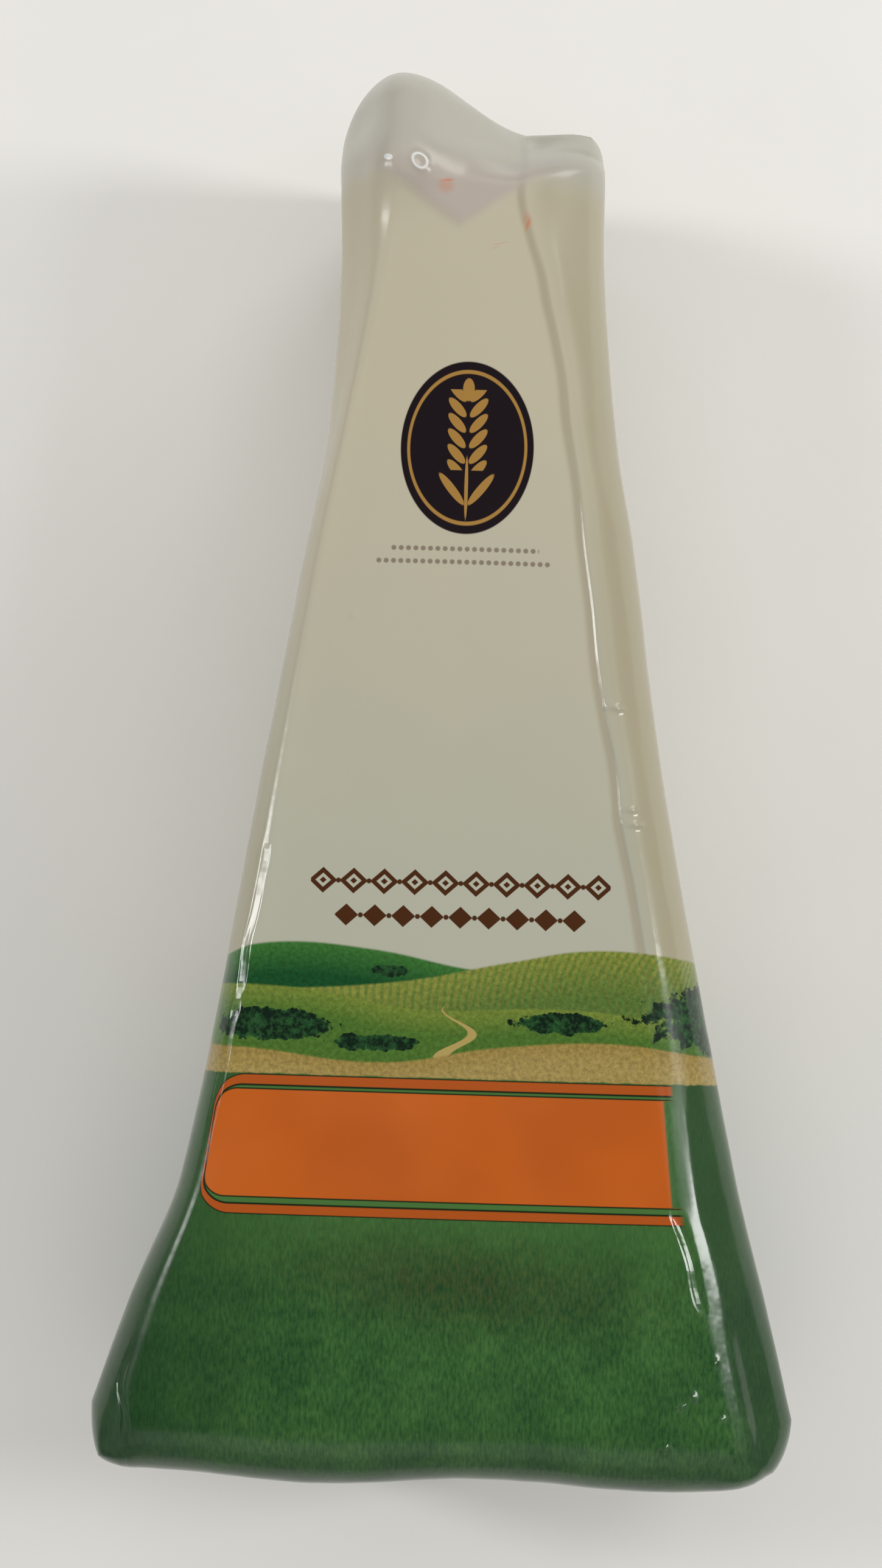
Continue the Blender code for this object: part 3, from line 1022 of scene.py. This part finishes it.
        # Painted shade: the grass is darker round the sides and towards the left
        shady = add("ShaderNodeMapRange", self.across, -20.0, -42.0, 0.0, 0.95)
        round_it = add("ShaderNodeMath", self.aside, shady, operation="MAXIMUM")
        round_it = add("ShaderNodeMath", round_it, 0.7, operation="MULTIPLY")
        colour = add("ShaderNodeMix", round_it, colour, Ink.GRASS_SIDE_SHADE.colour, data_type="RGBA")
        over = add("ShaderNodeMath", self.ragged, 0.5, self.along, operation="MULTIPLY_ADD")
        return self.lay(below, colour, over, 0.15, self.grass_top)

    def rounded_frame(self, place: Socket, left: float, top: float, bottom: float, corner: float) -> Socket:
        """How far outside a frame with rounded left corners each place is.

        Args:
            place: Places on the panel, as they are once its widening is taken out.
            left: The frame's left side.
            top: Its upper side.
            bottom: Its lower side.
            corner: The radius of its corners.

        Returns:
            The distance, negative inside the frame.
        """
        add = self.add
        right = self.land_reach
        middle = ((left + right) / 2.0, (top + bottom) / 2.0, 0.0)
        inner = ((right - left) / 2.0 - corner, (top - bottom) / 2.0 - corner, 1.0)
        off = add("ShaderNodeVectorMath", place, middle, operation="SUBTRACT")
        off = add("ShaderNodeVectorMath", off, operation="ABSOLUTE")
        off = add("ShaderNodeVectorMath", off, inner, operation="SUBTRACT")
        off = add("ShaderNodeVectorMath", off, (0.0, 0.0, 0.0), operation="MAXIMUM")
        off = add("ShaderNodeVectorMath", off, operation="LENGTH")
        return add("ShaderNodeMath", off, corner, operation="SUBTRACT")

    def panel(self, below: Socket) -> Socket:
        """The orange panel and the band that frames it, with a grassy gap and dark lines between.

        Args:
            below: The colour so far.

        Returns:
            The colour with the panel over it.
        """
        add = self.add
        widen = add("ShaderNodeMath", self.along, -self.panel_middle[1], operation="ADD")
        widen = add("ShaderNodeMath", widen, self.panel_widening, 1.0, operation="MULTIPLY_ADD")
        run = add("ShaderNodeMath", self.across, -self.panel_middle[0], operation="ADD")
        run = add("ShaderNodeMath", run, widen, operation="MULTIPLY")
        place = add("ShaderNodeCombineXYZ", run, self.along)
        past_end = add("ShaderNodeMath", run, self.panel_end, operation="SUBTRACT")
        past_bands = add("ShaderNodeMath", run, self.panel_end + 1.2, operation="SUBTRACT")
        band = self.rounded_frame(place, -32.3, -47.8, -66.7, 4.6)
        gap = self.rounded_frame(place, -32.0, -49.1, -65.5, 3.9)
        panel = self.rounded_frame(place, -31.8, -49.8, -64.4, 3.1)
        layers = (
            (Ink.LINE, band, 0.16),
            (Ink.ORANGE_DEEP, band, 0.0),
            (Ink.LINE, gap, 0.05),
            (Ink.GRASS_LIGHT, gap, -0.22),
            (Ink.LINE, panel, 0.2),
        )
        colour = below
        for ink, edge, level in layers:
            colour = self.lay(colour, ink.colour, edge, self.crisp, level)
        tone = add("ShaderNodeTexNoise", self.place, 0.05, 2.0, 0.5, noise_dimensions="2D")
        tone = add("ShaderNodeMapRange", tone, 0.35, 0.65, 0.0, 0.5)
        orange = add("ShaderNodeMix", tone, Ink.ORANGE.colour, Ink.ORANGE_DEEP.colour, data_type="RGBA")
        colour = self.lay(colour, orange, panel, self.crisp)
        ends = add("ShaderNodeMapRange", past_end, 0.15, -0.15, 0.0, 1.0)
        bands = add("ShaderNodeMapRange", past_bands, 0.3, -0.3, 0.0, 1.0)
        inside = add("ShaderNodeMapRange", panel, 0.1, -0.1, 0.0, 1.0)
        shown = add("ShaderNodeMix", inside, bands, ends)
        return add("ShaderNodeMix", shown, below, colour, data_type="RGBA")

    def badge(self, below: Socket) -> Socket:
        """A dark oval badge with a gold ring and an ear of wheat.

        Args:
            below: The colour so far.

        Returns:
            The colour with the badge over it.
        """
        add = self.add
        middle = self.badge_at
        gold = Ink.GOLD.colour
        out = self.oval(middle, self.badge_half)
        colour = self.lay(below, Ink.AUBERGINE.colour, out, 0.01, 1.0)
        colour = self.lay(colour, gold, self.outside(out, self.ring_at), 0.008, 0.022)
        aside = self.outside(self.across, middle[0])
        above = add("ShaderNodeMath", self.along, -middle[1], operation="ADD")
        slant = add("ShaderNodeMath", aside, -0.85, above, operation="MULTIPLY_ADD")
        spot = add("ShaderNodeCombineXYZ", aside, self.repeated(slant, -1.15, 2.3))
        size = (1.3, 0.92, 1.0)
        spot = add("ShaderNodeMapping", spot, (1.55, 0.0, 0.0), None, size, vector_type="TEXTURE")
        grain = add("ShaderNodeVectorMath", spot, operation="LENGTH")
        grain = add("ShaderNodeMath", grain, -1.0, operation="ADD")
        grain = add("ShaderNodeMath", grain, self.outside(above, 2.6, 6.0), operation="MAXIMUM")
        colour = self.lay(colour, gold, grain, 0.07)
        # The ear's topmost grain, its stem and its two leaves: middle, half size, turn in degrees, and blur
        parts = (
            ((0.0, 8.6), (0.85, 1.7), 0.0, 0.07),
            ((0.0, -6.0), (0.26, 4.6), 0.0, 0.1),
            ((2.1, -6.2), (0.6, 2.9), -38.0, 0.08),
            ((-2.1, -6.2), (0.6, 2.9), 38.0, 0.08),
        )
        for (right, up), half, turn, blur in parts:
            part = self.oval((middle[0] + right, middle[1] + up), half, turn)
            colour = self.lay(colour, gold, part, blur, 1.0)
        return colour

    def dotted_rule(self, below: Socket, middle: Point, half: float) -> Socket:
        """A row of fine dots.

        Args:
            below: The colour so far.
            middle: The middle of the row.
            half: Half its length.

        Returns:
            The colour with the row over it.
        """
        add = self.add
        rise = add("ShaderNodeMath", self.along, -middle[1], operation="ADD")
        run = self.repeated(self.across, -self.dot_pitch / 2.0, self.dot_pitch)
        spot = add("ShaderNodeCombineXYZ", run, rise)
        dot = add("ShaderNodeVectorMath", spot, operation="LENGTH")
        dot = add("ShaderNodeMath", dot, -self.dot_radius, operation="ADD")
        dot = add("ShaderNodeMath", dot, self.outside(self.across, middle[0], half), operation="MAXIMUM")
        return self.lay(below, Ink.RULE.colour, dot, 0.1)

    def lozenges(self, below: Socket, middle: Point, half: float, pitch: float, hollow: bool) -> Socket:
        """A row of lozenges with a dot between each two.

        Args:
            below: The colour so far.
            middle: The middle of the row.
            half: Half its length.
            pitch: The distance from one lozenge to the next.
            hollow: Whether the lozenges are outlines with a dot inside, and not solid.

        Returns:
            The colour with the row over it.
        """
        add = self.add
        run = self.repeated(self.across, middle[0] - half, pitch)
        run = add("ShaderNodeMath", run, operation="ABSOLUTE")
        rise = self.outside(self.along, middle[1])
        size = add("ShaderNodeMath", rise, 1.1, run, operation="MULTIPLY_ADD")
        if hollow:
            inner = add("ShaderNodeMath", size, -0.5, operation="ADD")
            edge = add("ShaderNodeMath", self.outside(size, 1.55, 0.46), inner, operation="MINIMUM")
        else:
            edge = add("ShaderNodeMath", size, -1.7, operation="ADD")
        between = add("ShaderNodeMath", run, -pitch / 2.0, operation="ADD")
        between = add("ShaderNodeCombineXYZ", between, rise)
        between = add("ShaderNodeVectorMath", between, operation="LENGTH")
        between = add("ShaderNodeMath", between, -self.dot_radius, operation="ADD")
        edge = add("ShaderNodeMath", edge, between, operation="MINIMUM")
        past = self.outside(self.across, middle[0], half - 0.42)
        edge = add("ShaderNodeMath", edge, past, operation="MAXIMUM")
        return self.lay(below, Ink.CHOCOLATE.colour, edge, self.crisp)

    def smudges(self, below: Socket) -> Socket:
        """Small orange smears of ink where the print is creased at the tail.

        Args:
            below: The colour so far.

        Returns:
            The colour with the smears over it.
        """
        add = self.add
        for middle, half, turn, share in self.smears:
            out = self.oval(middle, half, turn)
            out = add("ShaderNodeMath", self.ragged, 0.7, out, operation="MULTIPLY_ADD")
            seen = add("ShaderNodeMapRange", out, 1.6, 0.4, 0.0, share, **EASED)
            below = add("ShaderNodeMix", seen, below, Ink.SMUDGE.colour, data_type="RGBA")
        return below

    def lifted_and_glints(self, below: Socket) -> Socket:
        """Painted highlights on the tail's two blisters, a pale dot and a pale ring, partly the pale look
        of the film where the blister lifts it off the print.

        Args:
            below: The colour so far.

        Returns:
            The colour with the pale blisters over it.
        """
        for blister in TAIL_BLISTERS:
            out = self.oval(blister.middle, blister.half, blister.turn)
            edge = self.outside(out, 1.0, 0.16) if blister.hollow else self.outside(out, 0.0, 0.75)
            # Painted highlight: each blister's glint painted pale, partly the film lifted off the print
            below = self.lay(below, Ink.AIR_AND_GLINT.colour, edge, 0.14)
        return below

    def draw(self) -> Socket:
        """Draws every part of the print in its order, and gives the finished colour."""
        colour = self.grass(self.land(self.ground()))
        colour = self.badge(self.panel(colour))
        colour = self.dotted_rule(colour, (-0.3, 27.6), 10.6)
        colour = self.dotted_rule(colour, (-0.45, 25.7), 12.5)
        colour = self.lozenges(colour, (0.45, -20.4), 21.5, 4.3, True)
        colour = self.lozenges(colour, (0.5, -25.2), 18.0, 4.0, False)
        for name, ink in (("tail_share", Ink.DOUBLED), ("flap_share", Ink.FILM_GREY)):
            share = self.add("ShaderNodeAttribute", give=2, attribute_name=name)
            colour = self.add("ShaderNodeMix", share, colour, ink.colour, data_type="RGBA")
        return self.lifted_and_glints(self.smudges(colour))


@dataclass
class FilmRelief:
    """The film's finest relief, in millimetres: too small for the mesh, but it steers the highlights."""

    tree: bpy.types.NodeTree
    pucker_size: float = 3.2
    pucker_height: float = 0.05
    groove_profile: Curve = (
        (-6.0, 0.0), (-1.3, 0.0), (-1.1, -0.04), (-0.3, -0.36), (0.0, -0.39), (0.3, -0.28), (0.8, -0.02),
        (1.2, 0.0), (6.0, 0.0),
    )
    groove_strength: Curve = (
        (-104.0, 0.0), (-79.0, 0.0), (-76.0, 1.0), (-72.0, 0.85), (-67.0, 1.1), (-64.0, 0.2), (-46.0, 0.2),
        (-20.0, 0.4), (40.0, 0.45), (66.0, 0.3), (76.0, 0.0), (104.0, 0.0),
    )
    # The flank that shrinking pulls flat is a little over a millimetre wide
    ridge_profile: Curve = (
        (-6.0, 0.0), (-0.85, 0.0), (-0.3, -0.15), (0.0, -0.13), (0.25, -0.08), (0.6, 0.03), (0.95, 0.05),
        (2.8, 0.0), (6.0, 0.0),
    )
    ridge_strength: Curve = (
        (-104.0, 0.2), (-99.0, 0.9), (-89.0, 0.8), (-81.0, 0.0), (-58.0, 0.1), (-47.0, 1.0), (-43.0, 0.1),
        (-40.5, 0.1), (-39.0, 1.1), (-37.5, 0.1), (-34.5, 1.2), (-24.0, 1.25), (-20.5, 0.7), (-17.5, 1.0),
        (-14.5, 0.05), (30.0, 0.05), (66.0, 0.05), (80.0, 0.06), (85.0, 0.0), (104.0, 0.0),
    )
    blisters: tuple[Blister, ...] = (
        Blister((21.9, 5.3), (1.1, 0.55), -8.0, 0.3),
        Blister((24.3, -9.2), (0.9, 0.5), 0.0, 0.25),
        Blister((24.9, -11.3), (1.2, 0.5), 0.0, 0.3),
        Blister((-15.9, 17.6), (0.7, 0.7), 0.0, 0.1),
        Blister((36.8, -85.2), (0.45, 0.7), -10.0, 0.22),
        Blister((34.0, -89.6), (0.6, 1.0), 20.0, 0.36),
        Blister((32.4, -91.0), (0.85, 0.5), 30.0, 0.34),
        Blister((37.8, -92.5), (0.45, 0.45), 0.0, 0.22),
        Blister((30.4, -96.4), (0.7, 0.7), 0.0, 0.45),
        Blister((39.6, -97.3), (0.5, 0.8), 20.0, 0.28),
        Blister((18.5, -74.1), (0.6, 0.6), 0.0, 0.14),
        *TAIL_BLISTERS,
    )

    def strip(self, name: str, profile: Curve, strength: Curve, along: Socket) -> Socket:
        """The relief beside a path: a profile across it, stronger and weaker along it.

        Args:
            name: The attribute that holds the distance from the path.
            profile: The height at each distance.
            strength: What the height is multiplied by, at each place along the print.
            along: The place along the print.

        Returns:
            The height.
        """
        away = add_node(self.tree, "ShaderNodeAttribute", give=2, attribute_name=name)
        height = follow_curve(self.tree, away, profile, -0.5, 0.5)
        share = follow_curve(self.tree, along, strength, 0.0, 1.5)
        return add_node(self.tree, "ShaderNodeMath", height, share, operation="MULTIPLY")

    def height(self, spot: Socket) -> Socket:
        """Adds up the relief.

        Args:
            spot: The place in the object, in metres.

        Returns:
            The height in millimetres.
        """
        add = partial(add_node, self.tree)
        place = add("ShaderNodeAttribute", give=1, attribute_name="print_place")
        along = add("ShaderNodeSeparateXYZ", place, give=1)
        total = add("ShaderNodeTexNoise", spot, 1.0 / (self.pucker_size * MM), 2.0, 0.5)
        total = add("ShaderNodeMath", total, self.pucker_height, operation="MULTIPLY")
        groove = self.strip("from_groove", self.groove_profile, self.groove_strength, along)
        ridge = self.strip("from_ridge", self.ridge_profile, self.ridge_strength, along)
        total = add("ShaderNodeMath", total, groove, operation="ADD")
        total = add("ShaderNodeMath", total, ridge, operation="ADD")
        for blister in self.blisters:
            near = from_oval(self.tree, place, blister.middle, blister.half, blister.turn)
            if blister.hollow:
                near = add("ShaderNodeMath", near, -1.0, operation="ADD")
                near = add("ShaderNodeMath", near, 1.7, operation="MULTIPLY")
            near = add("ShaderNodeMath", near, near, operation="MULTIPLY")
            near = add("ShaderNodeMath", math.exp(-1.0), near, operation="POWER")
            total = add("ShaderNodeMath", near, blister.height, total, operation="MULTIPLY_ADD")
        return total


@dataclass(frozen=True)
class ShrinkFilm:
    """Clear polyamide and polyethylene shrink film, printed on its inner side and shrunk in hot water.

    The clear outer skin gives crisp, wet-looking highlights over the print, and shrinking leaves it
    faintly uneven, so that those highlights wander along the edges. Where the film is strained most it
    turns cloudy, and a highlight spreads there into a pale haze.
    """

    ior: float = 1.5
    glossy: float = 0.1
    hazy: float = 0.2
    strained: float = 0.42
    haze_size: float = 18.0

    def material(self) -> bpy.types.Material:
        """Makes the film's material.

        Returns:
            The material, with the print and the film's finish in its nodes.
        """
        made = bpy.data.materials.new("gloss_shrink_film_printed_inside")
        made.use_nodes = True
        tree = made.node_tree
        add = partial(add_node, tree)
        shader = tree.nodes["Principled BSDF"]
        shader.inputs["IOR"].default_value = self.ior
        tree.links.new(PrintDrawing(tree).draw(), shader.inputs["Base Color"])
        spot = add("ShaderNodeTexCoord", give=3)
        haze = add("ShaderNodeTexNoise", spot, 1.0 / (self.haze_size * MM), 2.0, 0.6)
        haze = add("ShaderNodeMapRange", haze, 0.3, 0.7, self.glossy, self.hazy)
        strained = add("ShaderNodeAttribute", give=2, attribute_name="strain")
        haze = add("ShaderNodeMix", strained, haze, self.strained, data_type="FLOAT")
        tree.links.new(haze, shader.inputs["Roughness"])
        normal = add("ShaderNodeBump", 1.0, MM, None, FilmRelief(tree).height(spot))
        tree.links.new(normal, shader.inputs["Normal"])
        return made


@dataclass
class ShrinkRipples:
    """The low ripples that shrinking leaves in the film, made with Geometry Nodes."""

    height: float = 0.32
    spacing: float = 9.0
    fine_height: float = 0.07
    fine_spacing: float = 3.4
    seed: float = 4.0

    def tree(self) -> bpy.types.NodeTree:
        """Builds the node tree that ripples a mesh along its normals, as much as its film is slack.

        Returns:
            The tree.
        """
        made = bpy.data.node_groups.new("shrink_ripples", "GeometryNodeTree")
        face = made.interface
        face.new_socket("Geometry", in_out="INPUT", socket_type="NodeSocketGeometry")
        names = ("Ripple height", "Ripple spacing", "Fine height", "Fine spacing", "Seed")
        for name in names:
            face.new_socket(name, in_out="INPUT", socket_type="NodeSocketFloat")
        face.new_socket("Film", in_out="INPUT", socket_type="NodeSocketMaterial")
        face.new_socket("Geometry", in_out="OUTPUT", socket_type="NodeSocketGeometry")
        add = partial(add_node, made)
        given = add("NodeGroupInput").node.outputs
        place = add("GeometryNodeInputPosition")
        total = None
        for height, spacing, shift in ((given[1], given[2], 0.0), (given[3], given[4], 11.0)):
            closeness = add("ShaderNodeMath", 1.0, spacing, operation="DIVIDE")
            spot = add("ShaderNodeVectorMath", place, closeness, operation="SCALE")
            seeded = add("ShaderNodeMath", given[5], shift, operation="ADD")
            rough = add("ShaderNodeTexNoise", spot, seeded, 1.0, 1.0, 0.5, noise_dimensions="4D")
            rough = add("ShaderNodeMath", rough, 0.5, operation="SUBTRACT")
            rough = add("ShaderNodeMath", rough, height, operation="MULTIPLY")
            total = rough if total is None else add("ShaderNodeMath", total, rough, operation="ADD")
        slack = add("GeometryNodeInputNamedAttribute", "slack")
        moved = add("ShaderNodeMath", total, slack, operation="MULTIPLY")
        normal = add("GeometryNodeInputNormal")
        move = add("ShaderNodeVectorMath", normal, moved, operation="SCALE")
        mesh = add("GeometryNodeSetPosition", given[0], None, None, move)
        mesh = add("GeometryNodeSetShadeSmooth", mesh)
        mesh = add("GeometryNodeRealizeInstances", mesh)
        mesh = add("GeometryNodeSetMaterial", mesh, None, given[6])
        add("NodeGroupOutput", mesh)
        return made

    def apply(self, thing: bpy.types.Object, film: bpy.types.Material) -> None:
        """Ripples an object's mesh, and leaves the result as its plain mesh.

        Args:
            thing: The object, whose mesh has a slack attribute.
            film: The material that the result gets.
        """
        tree = self.tree()
        sizes = {
            "Ripple height": self.height * MM,
            "Ripple spacing": self.spacing * MM,
            "Fine height": self.fine_height * MM,
            "Fine spacing": self.fine_spacing * MM,
            "Seed": self.seed,
            "Film": film,
        }
        modifier = thing.modifiers.new(tree.name, "NODES")
        modifier.node_group = tree
        inputs = [item for item in tree.interface.items_tree if item.in_out == "INPUT"]
        sockets = {item.name: item.identifier for item in inputs}
        for name, value in sizes.items():
            modifier[sockets[name]] = value
        graph = bpy.context.evaluated_depsgraph_get()
        plain = bpy.data.meshes.new_from_object(thing.evaluated_get(graph), depsgraph=graph)
        thing.modifiers.remove(modifier)
        thing.data = plain
        plain.name = thing.name


@dataclass
class FilmPack:
    """The whole sealed pack: the printed film drawn tight over the wedge of cheese."""

    form: PackForm = field(default_factory=PackForm)
    ripples: ShrinkRipples = field(default_factory=ShrinkRipples)
    film: ShrinkFilm = field(default_factory=ShrinkFilm)
    name: str = "film_pack"

    def build(self) -> bpy.types.Object:
        """Makes the pack's mesh, with what its material and its ripples read from it.

        Returns:
            The pack, rippled and dressed.
        """
        grid = BoxGrid()
        plan = FilmPlan(self.form)
        points, out = self.form.place(grid)
        shown = points + out * self.form.relief(points, out)[:, None]
        low, high = (np.array(corner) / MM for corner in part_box(NODE))
        spread = (shown.min(axis=0) + shown.max(axis=0)) / 2.0
        shift = np.array([*((low + high) / 2.0 - spread)[:2], low[2] - shown[:, 2].min()])
        mesh = bpy.data.meshes.new(self.name)
        mesh.from_pydata((shown + shift) * MM, (), grid.quads.tolist())
        places = plan.print_place(grid, points, out) + np.array([*shift[:2], 0.0])
        held = mesh.attributes.new("print_place", "FLOAT_VECTOR", "POINT")
        held.data.foreach_set("vector", places.ravel())
        shares = {
            "side_share": plan.side_share(out),
            "tail_share": plan.tail_share(points),
            "flap_share": plan.flap_share(points, out),
            "slack": plan.slack(points, out),
            "strain": plan.strain(points),
            "from_groove": self.form.from_path(self.form.groove_path, points),
            "from_ridge": self.form.from_path(self.form.ridge_path, points),
        }
        for name, values in shares.items():
            mesh.attributes.new(name, "FLOAT", "POINT").data.foreach_set("value", values)
        thing = bpy.data.objects.new(self.name, mesh)
        bpy.context.scene.collection.objects.link(thing)
        self.ripples.apply(thing, self.film.material())
        return thing


@dataclass(frozen=True)
class Softbox:
    """A flat studio light, by the direction it shines from, its size and its brightness.

    One that isn't mirrored stands for a light behind a polarising sheet, whose glare a lens filter removes.
    """

    name: str
    azimuth: float
    from_zenith: float
    distance: float
    width: float
    height: float
    brightness: float
    mirrored: bool = True

    def hang(self, target: Vector) -> None:
        """Hangs the light so that it faces the target.

        Args:
            target: The place it faces.
        """
        round_it, down = math.radians(self.azimuth), math.radians(self.from_zenith)
        level = math.sin(down)
        away = Vector((math.cos(round_it) * level, math.sin(round_it) * level, math.cos(down)))
        lamp = bpy.data.lights.new(self.name, "AREA")
        lamp.shape = "RECTANGLE"
        lamp.size = self.width
        lamp.size_y = self.height
        lamp.energy = self.brightness * math.pi * self.width * self.height
        thing = bpy.data.objects.new(self.name, lamp)
        turn = away.to_track_quat("Z", "Y").to_matrix().to_4x4()
        thing.matrix_world = Matrix.Translation(target + away * self.distance) @ turn
        thing.visible_glossy = self.mirrored
        bpy.context.scene.collection.objects.link(thing)


@dataclass
class Studio:
    """The pale floor, the soft lights and the camera over the pack, in metres and degrees."""

    floor_size: float = 6.0
    # The fill's brightness by the height it comes from: it is dark overhead, so that the face stays deep
    fill: Curve = (
        (0.0, 0.35), (0.3, 0.35), (0.5, 0.55), (0.7, 0.55), (0.8, 0.2), (1.0, 0.08),
    )
    lights: tuple[Softbox, ...] = (
        Softbox("left_strip", 169.0, 50.0, 0.9, 0.085, 0.46, 17.0),
        Softbox("right_strip", 3.5, 50.0, 0.9, 0.13, 0.44, 15.0),
        Softbox("far_box", 55.0, 66.0, 1.0, 0.5, 0.34, 3.2),
        Softbox("overhead_box", 90.0, 0.0, 1.4, 1.2, 1.2, 1.07, mirrored=False),
    )
    camera_target: tuple[float, float, float] = (-0.00275, -0.00624, 0.071)
    camera_distance: float = 0.309
    camera_tilt: float = 6.0
    camera_roll: float = 1.7
    lens: float = 50.0

    def lay_floor(self) -> None:
        """Lays the pale floor, of matt painted board."""
        half = self.floor_size / 2.0
        mesh = bpy.data.meshes.new("studio_floor")
        corners = [(-half, -half, 0.0), (half, -half, 0.0), (half, half, 0.0), (-half, half, 0.0)]
        mesh.from_pydata(corners, (), [(0, 1, 2, 3)])
        # Rolled emulsion paint on board: it scatters all light, and its coat varies over some 40 mm
        paint = bpy.data.materials.new("matt_emulsion_painted_board")
        paint.use_nodes = True
        shader = paint.node_tree.nodes["Principled BSDF"]
        shader.inputs["Roughness"].default_value = 0.9
        add = partial(add_node, paint.node_tree)
        coat = add("ShaderNodeTexNoise", add("ShaderNodeTexCoord", give=3), 1.0 / (40.0 * MM), 2.0, 0.5)
        colour = add("ShaderNodeMix", coat, Ink.FLOOR.colour, Ink.FLOOR_THIN.colour, data_type="RGBA")
        paint.node_tree.links.new(colour, shader.inputs["Base Color"])
        mesh.materials.append(paint)
        floor = bpy.data.objects.new("studio_floor", mesh)
        bpy.context.scene.collection.objects.link(floor)

    def light(self) -> None:
        """Sets the even fill and hangs the softboxes."""
        world = bpy.data.worlds.new("studio_fill")
        world.use_nodes = True
        add = partial(add_node, world.node_tree)
        toward = add("ShaderNodeTexCoord")
        height = add("ShaderNodeSeparateXYZ", toward, give=2)
        drawn = add("ShaderNodeFloatCurve", 1.0, height)
        top = max(brightness for _, brightness in self.fill)
        shape_curve(drawn, [(up, brightness / top) for up, brightness in self.fill])
        strength = add("ShaderNodeMath", drawn, top, operation="MULTIPLY")
        background = world.node_tree.nodes["Background"]
        background.inputs["Color"].default_value = (1.0, 0.995, 0.98, 1.0)
        world.node_tree.links.new(strength, background.inputs["Strength"])
        bpy.context.scene.world = world
        bpy.context.scene.view_settings.view_transform = "Standard"
        for lamp in self.lights:
            lamp.hang(Vector((0.0, 0.0, 0.04)))

    def set_camera(self) -> None:
        """Hangs the camera over the pack, tilted a little towards the narrow end and rolled a little."""
        tilt, roll = math.radians(self.camera_tilt), math.radians(self.camera_roll)
        back = Vector((0.0, -math.sin(tilt), math.cos(tilt)))
        right = Vector((1.0, 0.0, 0.0))
        up = back.cross(right)
        turned = right * math.cos(roll) + up * math.sin(roll)
        upright = up * math.cos(roll) - right * math.sin(roll)
        data = bpy.data.cameras.new("camera")
        data.lens = self.lens
        data.sensor_width = 36.0
        camera = bpy.data.objects.new("camera", data)
        turn = Matrix((turned, upright, back)).transposed().to_4x4()
        place = Vector(self.camera_target) + back * self.camera_distance
        camera.matrix_world = Matrix.Translation(place) @ turn
        bpy.context.scene.collection.objects.link(camera)
        bpy.context.scene.camera = camera


def main() -> None:
    """Builds the studio and the pack in order."""
    logging.basicConfig(level=logging.INFO, format="%(name)s: %(message)s")
    studio = Studio()
    studio.lay_floor()
    studio.light()
    studio.set_camera()
    LOG.info("studio: floor, %d softboxes and camera", len(studio.lights))
    pack = FilmPack().build()
    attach(pack, BODY)
    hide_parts(NODE)
    LOG.info("%s: %d faces", pack.name, len(pack.data.polygons))
    LOG.info("sizes written")


if __name__ == "__main__":
    main()
